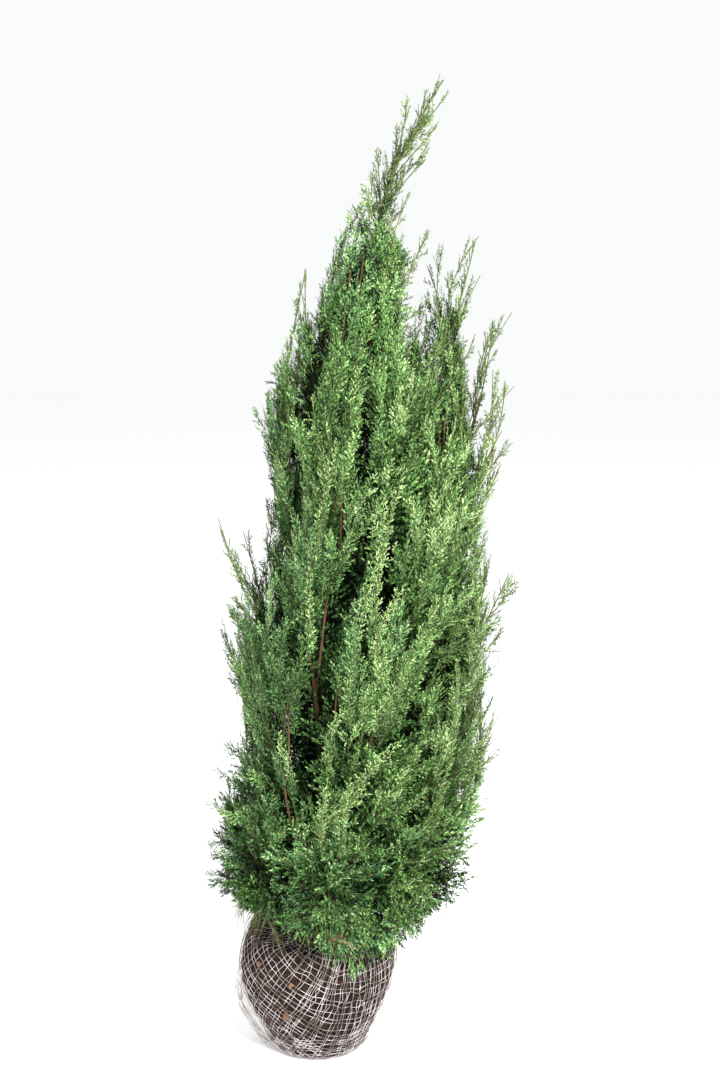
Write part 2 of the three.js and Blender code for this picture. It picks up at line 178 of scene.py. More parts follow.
def named_attribute(tree, name, kind):
    """A node that reads an attribute of the points."""
    node = tree.nodes.new("GeometryNodeInputNamedAttribute")
    node.data_type = kind
    node.inputs["Name"].default_value = name
    return node.outputs["Attribute"]


def finish_tree(tree, geometry, group_input, group_output):
    """Ends a tree in Realize Instances and Set Material."""
    realize = tree.nodes.new("GeometryNodeRealizeInstances")
    paint = tree.nodes.new("GeometryNodeSetMaterial")
    tree.links.new(geometry, realize.inputs["Geometry"])
    tree.links.new(realize.outputs["Geometry"], paint.inputs["Geometry"])
    tree.links.new(group_input.outputs["Material"], paint.inputs["Material"])
    tree.links.new(paint.outputs["Geometry"], group_output.inputs["Geometry"])


def settled(thing, tree, **inputs):
    """Runs a tree on an object and keeps the result as the object's plain mesh."""
    modifier = thing.modifiers.new(tree.name, "NODES")
    modifier.node_group = tree
    for socket in tree.interface.items_tree:
        if socket.in_out == "INPUT" and socket.name in inputs:
            modifier[socket.identifier] = inputs[socket.name]
    evaluated = thing.evaluated_get(bpy.context.evaluated_depsgraph_get())
    mesh = bpy.data.meshes.new_from_object(evaluated)
    thing.modifiers.remove(modifier)
    thing.data = mesh
    return thing


# %% Pieces in the frame
def triangles_of(thing):
    """How many triangles a mesh object has."""
    return sum(len(polygon.vertices) - 2 for polygon in thing.data.polygons)


def place_piece(thing, nodes):
    """Ties a finished piece to the plant's one body and hides the solids that it stands for."""
    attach(thing, "root")
    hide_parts(*nodes)
    print(f"{thing.name}: {triangles_of(thing)} triangles")
    return thing


# %% [markdown]
# ## Materials
# Scale leaves, bark, soil and netting show on this plant. None is one flat colour. Leaves on one
# plant differ from spray to spray, so the leaf effect is a shared node group that goes from a deep
# through a bright to a pale green, by a number that each spray carries and by a number on each fleck
# of a shoot, highest at a fleck's tip and on the shoot's end fleck. Both numbers also carry painted
# light and shade: the deep green stands for painted shade, and the pale green is partly a painted
# highlight. Bark has long fibres, so its noise is stretched upwards, the way the limbs run. All
# patterns sit on object coordinates or on numbers that the pieces carry.

# %% Shader helpers
BUMP_STRENGTH = 0.6


def group_tree(name, inputs, outputs):
    """A shader node group with named inputs and outputs."""
    tree = bpy.data.node_groups.new(name, "ShaderNodeTree")
    for key, kind in inputs.items():
        tree.interface.new_socket(key, in_out="INPUT", socket_type=kind)
    for key, kind in outputs.items():
        tree.interface.new_socket(key, in_out="OUTPUT", socket_type=kind)
    return tree, tree.nodes.new("NodeGroupInput"), tree.nodes.new("NodeGroupOutput")


def math_node(tree, operation, first, second):
    """A math node between sockets or plain numbers."""
    node = tree.nodes.new("ShaderNodeMath")
    node.operation = operation
    for socket, value in zip(node.inputs, (first, second)):
        if isinstance(value, (int, float)):
            socket.default_value = value
        else:
            tree.links.new(value, socket)
    return node.outputs["Value"]


def object_place(tree):
    """The coordinates of the object itself."""
    return tree.nodes.new("ShaderNodeTexCoord").outputs["Object"]


def noise_node(tree, vector, scale, detail):
    """Noise on a vector, as a number from about 0.3 to 0.7."""
    node = tree.nodes.new("ShaderNodeTexNoise")
    node.inputs["Scale"].default_value = scale
    node.inputs["Detail"].default_value = detail
    tree.links.new(vector, node.inputs["Vector"])
    return node.outputs["Fac"]


def mixed(tree, factor, first, second):
    """A colour between two colours, each a socket or a plain colour."""
    node = tree.nodes.new("ShaderNodeMix")
    node.data_type = "RGBA"
    tree.links.new(factor, node.inputs["Factor"])
    for key, value in (("A", first), ("B", second)):
        socket = next(s for s in node.inputs if s.name == key and s.type == "RGBA")
        if isinstance(value, tuple):
            socket.default_value = (*value, 1)
        else:
            tree.links.new(value, socket)
    return next(s for s in node.outputs if s.type == "RGBA")


def attribute_node(tree, name):
    """A number that the piece carries on its points."""
    node = tree.nodes.new("ShaderNodeAttribute")
    node.attribute_name = name
    return node.outputs["Fac"]


def ranged(tree, value, low, high):
    """A number moved from the range low to high to the range 0 to 1, and kept in it."""
    node = tree.nodes.new("ShaderNodeMapRange")
    node.inputs["From Min"].default_value = low
    node.inputs["From Max"].default_value = high
    tree.links.new(value, node.inputs["Value"])
    return node.outputs["Result"]


def new_material(name, roughness):
    """A material with its Principled shader."""
    material = bpy.data.materials.new(name)
    material.use_nodes = True
    shader = material.node_tree.nodes["Principled BSDF"]
    shader.inputs["Roughness"].default_value = roughness
    return material, material.node_tree, shader


def bumped(tree, shader, height, distance):
    """Gives a shader a bump from a height."""
    bump = tree.nodes.new("ShaderNodeBump")
    bump.inputs["Strength"].default_value = BUMP_STRENGTH
    bump.inputs["Distance"].default_value = distance
    tree.links.new(height, bump.inputs["Height"])
    tree.links.new(bump.outputs["Normal"], shader.inputs["Normal"])


# %% A shared effect for scale leaves
TONE_WEIGHT = 0.5  # how much a spray's own number counts; it holds random tone and painted light and shade
FLECK_PAINTED_LIGHT_WEIGHT = 0.75  # how much each fleck's painted light and shade counts, strongest at the fleck's tip
GREENING = (0.05, 1.0)  # between these sums of both the leaf goes from deep, its painted shade, to bright
PALING = (0.95, 1.4)  # and between these on to pale, partly a painted highlight


def leaf_effect():
    """The shared look of scale leaves: their colour with painted light and shade, and their tiny
    overlapping scales.
    """
    greens = {key: "NodeSocketColor" for key in ("Deep", "Bright", "Pale")}
    results = {"Colour": "NodeSocketColor", "Scales": "NodeSocketFloat"}
    tree, given, made = group_tree("scale_leaves", greens, results)
    place = object_place(tree)
    speckle = math_node(tree, "SUBTRACT", noise_node(tree, place, scale=420, detail=2), 0.5)
    spray = math_node(tree, "MULTIPLY", attribute_node(tree, "tone"), TONE_WEIGHT)
    # the attribute named tip holds each fleck's painted light and shade
    tip = math_node(tree, "MULTIPLY", attribute_node(tree, "tip"), FLECK_PAINTED_LIGHT_WEIGHT)
    share = math_node(tree, "ADD", math_node(tree, "ADD", spray, tip), speckle)
    green = mixed(tree, ranged(tree, share, *GREENING), given.outputs["Deep"], given.outputs["Bright"])
    colour = mixed(tree, ranged(tree, share, *PALING), green, given.outputs["Pale"])
    tree.links.new(colour, made.inputs["Colour"])
    tree.links.new(noise_node(tree, place, scale=900, detail=1), made.inputs["Scales"])
    return tree


LEAF_EFFECT = leaf_effect()


# %% Leaf materials, one for each green
def leaf_material(name, deep, bright, pale):
    """Scale leaves from a deep colour, their painted shade, to a bright one, with pale tips that are partly
    painted highlights.
    """
    material, tree, shader = new_material(name, roughness=0.5)
    shader.inputs["Specular IOR Level"].default_value = 0.15
    effect = tree.nodes.new("ShaderNodeGroup")
    effect.node_tree = LEAF_EFFECT
    for key, colour in (("Deep", deep), ("Bright", bright), ("Pale", pale)):
        effect.inputs[key].default_value = (*colour, 1)
    tree.links.new(effect.outputs["Colour"], shader.inputs["Base Color"])
    bumped(tree, shader, effect.outputs["Scales"], distance=0.0006)
    return material


LEAF_COLOURS = {
    # kind: deep colour for painted shade, bright colour, and pale colour for pale tips and painted
    # highlights
    "blue": ((0.003, 0.012, 0.004), (0.106, 0.272, 0.072), (0.440, 0.590, 0.290)),
    "mid": ((0.003, 0.012, 0.003), (0.130, 0.302, 0.068), (0.500, 0.630, 0.280)),
    "fresh": ((0.004, 0.014, 0.003), (0.166, 0.326, 0.084), (0.500, 0.610, 0.300)),
    "tips": ((0.030, 0.060, 0.012), (0.215, 0.315, 0.085), (0.500, 0.570, 0.220)),
    # painted shade: a dark green for shoots deep inside the crown
    "shade": ((0.003, 0.008, 0.002), (0.036, 0.072, 0.018), (0.060, 0.100, 0.030)),
    "dead": ((0.020, 0.011, 0.006), (0.150, 0.095, 0.048), (0.230, 0.165, 0.095)),
}
LEAVES = {kind: leaf_material(f"leaves_{kind}", *colours) for kind, colours in LEAF_COLOURS.items()}


# %% Bark
FIBRE_STRETCH = (1, 1, 0.12)  # fibres are this much finer across than up


def fibre_effect():
    """The shared look of bark: long fibres and flakes, as a share from dark to light."""
    number = "NodeSocketFloat"
    tree, given, made = group_tree("bark_fibres", {"Fineness": number}, {"Fibres": number})
    place = object_place(tree)
    stretch = tree.nodes.new("ShaderNodeMapping")
    stretch.inputs["Scale"].default_value = FIBRE_STRETCH
    tree.links.new(place, stretch.inputs["Vector"])
    fibres = noise_node(tree, stretch.outputs["Vector"], scale=1, detail=6)
    tree.links.new(given.outputs["Fineness"], fibres.node.inputs["Scale"])
    tree.links.new(ranged(tree, fibres, 0.3, 0.7), made.inputs["Fibres"])
    return tree


FIBRE_EFFECT = fibre_effect()


def bark_material(name, dark, light, fineness):
    """Fibrous bark between a dark and a light colour."""
    material, tree, shader = new_material(name, roughness=0.85)
    effect = tree.nodes.new("ShaderNodeGroup")
    effect.node_tree = FIBRE_EFFECT
    effect.inputs["Fineness"].default_value = fineness
    tree.links.new(mixed(tree, effect.outputs["Fibres"], dark, light), shader.inputs["Base Color"])
    bumped(tree, shader, effect.outputs["Fibres"], distance=0.0015)
    return material


BARK = bark_material("red_brown_bark", (0.050, 0.021, 0.010), (0.190, 0.086, 0.040), fineness=260)
TWIG_BARK = bark_material("twig_bark", (0.048, 0.024, 0.010), (0.160, 0.080, 0.032), fineness=520)
STALK_BARK = bark_material("green_stalk", (0.055, 0.085, 0.020), (0.170, 0.215, 0.065), fineness=520)


# %% Soil, netting and dry leaf
def soil_material():
    """Dark damp soil with crumbs, grit and paler dry patches."""
    material, tree, shader = new_material("soil", roughness=0.95)
    shader.inputs["Specular IOR Level"].default_value = 0.1
    place = object_place(tree)
    crumbs = noise_node(tree, place, scale=160, detail=8)
    patches = noise_node(tree, place, scale=18, detail=3)
    dark = mixed(tree, ranged(tree, crumbs, 0.35, 0.68), (0.005, 0.003, 0.0022), (0.036, 0.020, 0.015))
    dry = mixed(tree, ranged(tree, crumbs, 0.4, 0.7), (0.010, 0.006, 0.0046), (0.060, 0.037, 0.029))
    tree.links.new(mixed(tree, ranged(tree, patches, 0.42, 0.72), dark, dry), shader.inputs["Base Color"])
    bumped(tree, shader, crumbs, distance=0.004)
    return material


def thread_material():
    """Pale plastic thread, dusty with soil in places."""
    material, tree, shader = new_material("net_thread", roughness=0.6)
    place = object_place(tree)
    dust = ranged(tree, noise_node(tree, place, scale=60, detail=5), 0.40, 0.60)
    tree.links.new(mixed(tree, dust, (0.74, 0.68, 0.66), (0.18, 0.14, 0.13)), shader.inputs["Base Color"])
    bumped(tree, shader, noise_node(tree, place, scale=700, detail=2), distance=0.0005)
    return material


def dry_leaf_material():
    """Orange-brown scraps of leaf."""
    material, tree, shader = new_material("dry_leaf", roughness=0.7)
    place = object_place(tree)
    spots = ranged(tree, noise_node(tree, place, scale=130, detail=4), 0.3, 0.7)
    colour = mixed(tree, spots, (0.060, 0.026, 0.012), (0.190, 0.088, 0.042))
    tree.links.new(colour, shader.inputs["Base Color"])
    return material


SOIL = soil_material()
THREAD = thread_material()
DRY_LEAF = dry_leaf_material()

# %% [markdown]
# ## The growth rule
# The solids were grown from a few numbers: the crown's outline, the courses of trunk and second
# leader, and tiers of boughs that go round them. The same numbers are written again here, so every
# finer twig starts where the solids' limbs really are. `chance` turns whole numbers into a repeatable
# number from 0 to 1.

# %% The crown's outline and the limbs' courses
SEED = 29
GOLDEN_ANGLE = 137.5
CROWN = {
    # height, left edge, right edge, half depth
    "trunk": np.array([
        [200, -108, 172, 130], [310, -182, 240, 195], [400, -170, 268, 202], [560, -122, 288, 192],
        [700, -142, 294, 186], [775, -144, 322, 180], [862, -142, 280, 168], [905, -104, 262, 160],
        [1000, -80, 204, 145], [1100, -64, 152, 120], [1250, -24, 148, 92], [1355, 42, 158, 62],
        [1440, 98, 184, 42], [1527, 178, 206, 16],
    ], float),
    "second_leader": np.array([
        [700, 90, 300, 130], [1000, 110, 304, 105], [1185, 142, 294, 74], [1299, 228, 258, 16],
    ], float),
}
BALL_HEIGHT = 200
GAP = 0.3
TRUNK_PATH = np.array([
    [-6, 0, BALL_HEIGHT + GAP], [4, 3, 420], [13, 1, 600], [26, -5, 790], [47, -7, 905], [60, -2, 1050],
    [72, 2, 1190], [92, 0, 1300],
])
LEADER_FOOT = 560  # height where the second leader leaves the trunk
LEADER_PATH = np.array([[74, -14, 668], [128, -22, 820], [166, -18, 990], [187, -12, 1072]], float)
TIPS = {"trunk": np.array([192.0, 0, 1527]), "second_leader": np.array([243.0, -4, 1299])}
TIERS = [
    # name, limb, count, bearing, step, shoulder, foot, foot climb, tip, tip climb, bough length
    ("skirt", "trunk", 7, 10, 360 / 7, 0.9, 212, 6, 372, 18, 0.26),
    ("lower", "trunk", 6, 338, 60, 0.76, 276, 14, 556, 26, 0.26),
    ("middle", "trunk", 5, 16, 74, 0.66, 392, 26, 776, 34, 0.26),
    ("upper", "trunk", 5, 70, 58, 0.62, 610, 22, 985, 30, 0.26),
    ("side", "second_leader", 3, 318, 42, 0.8, 725, 60, 992, 92, 0.26),
    ("top", "trunk", 3, 186, 118, 0.6, 960, 62, 1252, 50, 0),
]
TIP_REACH = (0.84, 1)
SHOULDER_HEIGHT = 0.34
TIP_BEND = 0.45  # a leader's tip keeps the leader's heading for about this share of its length


def chance(*keys):
    """A repeatable number from 0 to 1 for a list of whole numbers."""
    h = SEED
    for key in keys:
        h = ((h ^ (key + 0x9E3779B9)) * 0x85EBCA6B) & 0xFFFFFFFF
        h ^= h >> 13
        h = (h * 0xC2B2AE35) & 0xFFFFFFFF
        h ^= h >> 16
    return h / 2**32


# %% Curves
def lerp(a, b, t):
    """The value at a share of the way from a to b."""
    return a + (b - a) * t


def unit(vectors):
    """Vectors cut to length 1."""
    return vectors / np.maximum(np.linalg.norm(vectors, axis=-1, keepdims=True), 1e-9)


def bezier(start, middle, end):
    """A curve with one control point."""
    def at(t):
        t = np.asarray(t, float)[..., None]
        return (1 - t) ** 2 * start + 2 * t * (1 - t) * middle + t**2 * end
    return at


def smooth_path(points):
    """A smooth curve through points, with centripetal spacing."""
    padded = np.vstack([2 * points[0] - points[1], points, 2 * points[-1] - points[-2]])
    gaps = np.sqrt(np.linalg.norm(np.diff(padded, axis=0), axis=1))[:, None]

    def at(t):
        place = np.clip(np.asarray(t, float), 0, 1) * (len(points) - 1)
        k = np.minimum(place.astype(int), len(points) - 2)
        w = (place - k)[..., None]
        a, b, c, d = (padded[k + n] for n in range(4))
        before, here, after = (gaps[k + n] for n in range(3))
        leave = here * ((b - a) / before - (c - a) / (before + here) + (c - b) / here)
        arrive = here * ((c - b) / here - (d - b) / (here + after) + (d - c) / after)
        bend = -3 * b + 3 * c - 2 * leave - arrive
        twist = 2 * b - 2 * c + leave + arrive
        return b + leave * w + bend * w**2 + twist * w**3
    return at


def heading(curve, t):
    """The direction of a curve."""
    step = 1e-3
    t = np.clip(t, step, 1 - step)
    return unit(curve(t + step) - curve(t - step))


def at_height(curve, height):
    """Where a rising curve passes a height."""
    t = np.linspace(0, 1, 2001)
    return np.interp(height, curve(t)[:, 2], t)


def length_of(curve, start=0.0, end=1.0):
    """The length of part of a curve."""
    return np.linalg.norm(np.diff(curve(np.linspace(start, end, 60)), axis=0), axis=1).sum()


def square_to(directions):
    """Directions square to others, chosen as in the solids."""
    steep = np.abs(directions[..., 2:3]) > 0.95
    helper = np.where(steep, [0.0, 1, 0], [0.0, 0, 1])
    return unit(np.cross(directions, helper))


def turned(vectors, axes, angles):
    """Vectors turned about axes by angles."""
    c, s = np.cos(angles)[..., None], np.sin(angles)[..., None]
    along = (vectors * axes).sum(-1, keepdims=True)
    return vectors * c + np.cross(axes, vectors) * s + axes * along * (1 - c)


# %% Where the crown ends
def crown_at(table, height):
    """A column of the crown at a height: its middle, half width and half depth."""
    left, right, depth = (np.interp(height, table[:, 0], table[:, n]) for n in (1, 2, 3))
    return (left + right) / 2, (right - left) / 2, depth


def crown_point(limb, bearing, height, reach):
    """A point at a bearing and height, at a share of the way out from a column's middle."""
    middle, half, depth = crown_at(CROWN[limb], height)
    a = math.radians(bearing)
    return np.array([middle + reach * half * math.cos(a), reach * depth * math.sin(a), height])


# %% The crown's dense body
BODY = {
    # height, left edge, right edge, half depth; outside it there are only slim leading shoots
    "trunk": np.array([
        [160, -104, 134, 124], [230, -138, 204, 150], [272, -166, 230, 178], [354, -170, 256, 195],
        [436, -154, 260, 195], [516, -126, 270, 188], [596, -128, 264, 184], [713, -146, 278, 178],
        [760, -102, 268, 172], [829, -58, 264, 164], [904, -58, 248, 156], [979, -78, 218, 144],
        [1053, -74, 185, 128], [1126, -50, 160, 112], [1198, 10, 136, 98], [1270, 32, 136, 78],
        [1305, 38, 130, 64], [1345, 64, 112, 42],
    ], float),
    "second_leader": np.array([
        [760, 100, 252, 120], [867, 110, 258, 112], [942, 125, 258, 105], [1016, 142, 230, 92],
        [1090, 156, 228, 74], [1165, 160, 222, 52], [1215, 164, 212, 34],
    ], float),
}
ABOVE_BODY = 60  # a point this far above a column counts as one more share of the way out


def body_share(points):
    """How far out points lie: 0 in the middle of a column of the body, 1 at its edge."""
    shares = []
    for table in BODY.values():
        middle, half, depth = crown_at(table, points[..., 2])
        share = np.hypot((points[..., 0] - middle) / half, points[..., 1] / depth)
        above = np.maximum(points[..., 2] - table[-1, 0], 0)
        shares.append(share + above / ABOVE_BODY)
    return np.minimum(*shares)


def outward(points):
    """Level directions from the middle of the crown to points."""
    middle, _, _ = crown_at(BODY["trunk"], points[..., 2])
    away = np.stack([points[..., 0] - middle, points[..., 1], np.zeros_like(middle)], -1)
    return unit(away)


# %% The stems of all plumes
trunk_curve = smooth_path(TRUNK_PATH)
leader_root = trunk_curve(at_height(trunk_curve, LEADER_FOOT))
leader_curve = smooth_path(np.vstack([leader_root, LEADER_PATH]))
LIMBS = {"trunk": trunk_curve, "second_leader": leader_curve}


def tier_plumes():
    """The plumes of every tier, then those that carry on from the two leaders' tips.

    A plume is its name, its stem's curve and the share of the stem where its foliage starts.
    """
    made = []
    for name, limb, count, bearing, step, shoulder, foot, foot_climb, tip, tip_climb, bough in TIERS:
        for i in range(count):
            low, high = foot + i * foot_climb, tip + i * tip_climb
            turn = bearing + i * step
            reach = lerp(*TIP_REACH, chance(len(made), 1))
            curve = bezier(
                LIMBS[limb](at_height(LIMBS[limb], low)),
                crown_point(limb, turn, lerp(low, high, SHOULDER_HEIGHT), shoulder),
                crown_point(limb, turn, high, reach),
            )
            made.append({"name": f"{name}_{i + 1}", "curve": curve, "start": bough})
    for limb, tip in TIPS.items():
        foot = LIMBS[limb](1.0)
        onward = foot + heading(LIMBS[limb], 1.0) * TIP_BEND * np.linalg.norm(tip - foot)
        made.append({"name": f"{limb}_tip", "curve": bezier(foot, onward, tip), "start": 0})
    return made


PLUMES = tier_plumes()
missing = [p["name"] for p in PLUMES if "foliage_" + p["name"] not in NODES]
print(len(PLUMES), "plumes, without a solid:", missing)

# %% [markdown]
# ## Trunk and boughs with bark
# The bark of this tree is red-brown and fibrous, in long shallow ridges. A plain cylinder with a bump
# would look smooth at its edges, so each limb is lofted from rings whose radius rises and falls round
# it, and the ridges wander as they climb. The limbs follow the same courses and the same taper as the
# solids.

# %% Limbs lofted from rings
TRUNK_FOOT_RADIUS = 11.5
LIMB_TIP_RADIUS = 1.7
FLARE = 7
FLARE_HEIGHT = 34
LEADER_FOOT_RADIUS = 5.2
BOUGH_ROOT_RADIUS = 2.2
BOUGH_RADIUS_PER_LENGTH = 0.0075
BOUGH_TIP_RADIUS = 1
RIDGE = 0.07  # share of the radius
RIDGES = [
    # how many round a limb, how high beside each other, and how they wander round it as they climb
    (3, 1.0, 1.0), (5, 0.8, -1.7), (8, 0.5, 2.6),
]
RIDGE_CLIMB = 40


def trunk_radius(t):
    """The trunk's radius at a share of its course."""
    height = t * (TRUNK_PATH[-1, 2] - BALL_HEIGHT)
    return lerp(TRUNK_FOOT_RADIUS, LIMB_TIP_RADIUS, t**0.9) + FLARE * np.exp(-3 * height / FLARE_HEIGHT)


def leader_radius(t):
    """The second leader's radius at a share of its course."""
    return lerp(LEADER_FOOT_RADIUS, LIMB_TIP_RADIUS, t)


def bough_radius(plume, t):
    """The radius of a bough and of the stem that carries on from it."""
    root = BOUGH_ROOT_RADIUS + BOUGH_RADIUS_PER_LENGTH * length_of(plume["curve"])
    return lerp(root, BOUGH_TIP_RADIUS, t)


def limb_mesh(curve, radius, end, sides, steps):
    """Points and faces of a ridged limb along a curve, up to a share of it."""
    t = np.linspace(0, end, steps + 1)
    centre, along = curve(t), heading(curve, t)
    normal = np.zeros_like(along)
    normal[0] = square_to(along[0])
    for k in range(1, len(t)):
        flat = normal[k - 1] - along[k] * (normal[k - 1] @ along[k])
        normal[k] = flat / np.linalg.norm(flat)
    side = np.cross(along, normal)
    turn = np.linspace(0, 2 * np.pi, sides, endpoint=False)
    climb = centre[:, 2:3] / RIDGE_CLIMB
    ridges = sum(height * np.sin(count * turn + wander * climb) for count, height, wander in RIDGES)
    ring = radius(t)[:, None] * (1 + RIDGE * ridges)
    out = normal[:, None] * np.cos(turn)[None, :, None] + side[:, None] * np.sin(turn)[None, :, None]
    return lofted(centre[:, None] + out * ring[..., None])


def limb_piece(name, limbs, nodes):
    """One piece of bark from several limbs."""
    points, faces = [], []
    for limb_points, limb_faces in limbs:
        first = sum(map(len, points))
        faces += [[first + k for k in face] for face in limb_faces]
        points.append(limb_points)
    piece = from_arrays(name, np.vstack(points), faces)
    piece.data.shade_smooth()
    piece.data.materials.append(BARK)
    return place_piece(piece, nodes)


def bough_mesh(plume):
    """The part of a plume's stem below its foliage."""
    return limb_mesh(plume["curve"], lambda t: bough_radius(plume, t), plume["start"], sides=10, steps=16)


trunk = limb_mesh(trunk_curve, trunk_radius, 1, sides=20, steps=120)
limb_piece("trunk_bark", [trunk], ["trunk"])
second_leader = limb_mesh(leader_curve, leader_radius, 1, sides=14, steps=60)
limb_piece("second_leader_bark", [second_leader], ["second_leader"])
boughs = [plume for plume in PLUMES if "bough_" + plume["name"] in NODES]
bough_nodes = ["bough_" + plume["name"] for plume in boughs]
limb_piece("boughs_bark", [bough_mesh(plume) for plume in boughs], bough_nodes)

# %% [markdown]
# ## Growing twigs and fronds
# A twig of this tree grows where there is light, so the crown is full right up to its edge. Twigs
# could be set on the stems at even steps, but then bare gaps stay between the plumes. So it is done
# the other way round: places are spread evenly through the crown, and each is reached by a twig from
# the stem that passes nearest below it. Each twig carries flat fronds on two sides, like a fern, and
# each frond carries rows of shoots. Whole arrays are worked out at once with numpy, which takes
# seconds where a loop over every shoot would take minutes.

# %% Stems that twigs grow from
STOREYS = {"skirt": 0, "lower": 0, "middle": 1, "upper": 1, "side": 2, "top": 2, "trunk": 2, "second": 2}
HOST_PART = (0.1, 0.98)  # the part of a stem that twigs can grow from
HOST_POINTS = 45


def storey_of(plume):
    """Which storey of the crown a plume belongs to."""
    return STOREYS[plume["name"].split("_")[0]]


def joined(parts):
    """Rows of several growths as one."""
    return {key: np.concatenate([part[key] for part in parts]) for key in parts[0]}


def stem_rows():
    """Places and headings along every stem, with the storey that each belongs to."""
    t = np.linspace(*HOST_PART, HOST_POINTS)
    return joined([
        {
            "place": plume["curve"](t), "along": heading(plume["curve"], t),
            "storey": np.full(len(t), storey_of(plume)),
        }
        for plume in PLUMES
    ])


STEMS = stem_rows()

# %% Twigs that reach for places in the crown
FAN = np.array([-5.0, 0, 270])  # all plumes and twigs fan out from about here
FAN_STEEPEST = 220
TWIG_LONGEST = 340
TWIG_BEND = 0.5  # a twig keeps its first heading for about this share of its length
TWIG_HUE = 0.15  # from bluish at 0 to yellowish at 1
HUE_PATCH = 0.2  # how far hues drift from one patch of the crown to the next
HUE_SPREAD = 0.3  # and from twig to twig
HUE_ACROSS = (70, 330)  # from the first place to the right a hue grows by 1 over the second length: yellower towards the lit side, painted light
HUE_UP = (700, 2500)  # and so it does upwards
TWIG_TONE = 0.4  # how much lighter or darker one twig is than the next
TONE_LIMITS = (-0.8, 0.4)
TONE_ACROSS = (-150, 1100)  # twigs get lighter to the right, where the light comes from
TONE_UP = (950, 1800)  # and darker near the top, against the sky: painted shade


def crown_places(table, count, low, high, inner, outer):
    """Places spread evenly up and round a column of the crown, between two shares of the way out."""
    k = np.arange(count)
    height = np.linspace(low, high, 300)
    _, half, depth = crown_at(table, height)
    girth = np.cumsum(half + depth)
    height = np.interp((k + 0.5) / count, girth / girth[-1], height)
    middle, half, depth = crown_at(table, height)
    bearing = np.radians(GOLDEN_ANGLE * k)
    share = lerp(inner, outer, k * math.sqrt(2) % 1)
    return np.stack([middle + share * half * np.cos(bearing), share * depth * np.sin(bearing), height], -1)


def new_twigs(foot, along, tip, storey, rng):
    """Twigs with their feet, control points, tips, lengths, storeys, hues and tones."""
    reach = np.linalg.norm(tip - foot, axis=-1)
    x, y, z = tip.T
    patch = np.sin(x / 47 + z / 83) + np.sin(y / 53 - z / 61 + 1.3)
    hue = TWIG_HUE + HUE_PATCH * patch + (x - HUE_ACROSS[0]) / HUE_ACROSS[1] + (z - HUE_UP[0]) / HUE_UP[1]
    hue = hue + rng.normal(0, HUE_SPREAD, len(reach))
    tone = np.clip(rng.normal(0, TWIG_TONE, len(reach)), *TONE_LIMITS)
    tone = tone + (x - TONE_ACROSS[0]) / TONE_ACROSS[1] - np.maximum(z - TONE_UP[0], 0) / TONE_UP[1]
    return {
        "foot": foot, "bend": foot + along * TWIG_BEND * reach[:, None], "tip": tip, "reach": reach,
        "storey": storey, "hue": hue, "tone": tone,
    }


def fan_below(places, drop):
    """Points below places, each back along its ray of the fan by a drop in height."""
    ray = places - FAN
    ray = ray / np.maximum(ray[:, 2:], FAN_STEEPEST)
    ray[:, 2] = 1
    return places - np.broadcast_to(drop, len(places))[:, None] * ray


def twigs_to(places, below, rng):
    """Twigs to places, each from the stem that passes nearest to a point below it."""
    host = np.linalg.norm(STEMS["place"][None] - below[:, None], axis=-1).argmin(1)
    foot = STEMS["place"][host]
    course = places - foot
    reach = np.linalg.norm(course, axis=-1)
    tip = foot + course * np.minimum(1, TWIG_LONGEST / reach)[:, None]
    return new_twigs(foot, unit(STEMS["along"][host] + unit(course)), tip, STEMS["storey"][host], rng)


def dropped_twigs(places, drop, rng):
    """Twigs to places, each from the stem nearest to a point that lies a drop below."""
    return twigs_to(places, fan_below(places, drop), rng)


def stem_twig(plume, start, end, rng):
    """A twig that lies along a part of a plume's stem, with a start and an end as shares of it."""
    curve = plume["curve"]
    root, tip = np.array([[lerp(plume["start"], 1, start)], [lerp(plume["start"], 1, end)]])
    return new_twigs(curve(root), heading(curve, root), curve(tip), np.array([storey_of(plume)]), rng)


# %% Styles of fronds
# first and last: where on the twig they start and end; end: where the frond at the twig's tip starts;
# spacing, angle and length: along the twig; shorten: how much of its length the last has; breadth: as a
# share of the length; sparse: thin shoots that may stand free; coarse: how large the shoots are; roll: how
# far they turn out of the twig's plane; proud: how far out of the crown they may stand; glow: how much
# lighter they are
FULL = {
    "first": 0.25, "last": 0.97, "spacing": 7, "angle": 16, "length": 76, "shorten": 0.6, "breadth": 0.13,
    "end": 1.0, "sparse": 0, "coarse": 1, "roll": 34, "proud": 0, "glow": 0,
}
SKIRT = {**FULL, "first": 0.3, "angle": 34, "length": 52, "breadth": 0.2, "roll": 16}
FRONT = {**FULL, "first": 0.2, "spacing": 5.5, "length": 56, "proud": 1}
STEM = {**FULL, "first": 0.02, "length": 60, "proud": 0.5}
LANCE = {
    **FULL, "first": 0.3, "last": 0.98, "spacing": 3.6, "angle": 24, "length": 27, "shorten": 0.5,
    "breadth": 0.2, "roll": 18, "proud": 1, "glow": 0.45,
}
WHIP = {
    "first": 0.05, "last": 0.86, "spacing": 12, "angle": 36, "length": 38, "shorten": 0.4, "breadth": 0.2,
    "end": 0.7, "sparse": 1, "coarse": 1, "roll": 24, "proud": 1, "glow": -0.15,
}
COLUMN = {**LANCE, "first": 0.0, "length": 34, "roll": 60, "glow": 0.1}
TUFT = {**WHIP, "spacing": 5.5, "length": 32}
FEATHER = {**WHIP, "first": 0.0, "spacing": 7, "length": 56, "shorten": 0.6, "roll": 45}
INNER = {
    "first": 0.2, "last": 0.95, "spacing": 30, "angle": 42, "length": 95, "shorten": 0.8, "breadth": 0.3,
    "end": 1.0, "sparse": 0, "coarse": 1.9, "roll": 60, "proud": 0, "glow": 0,
}

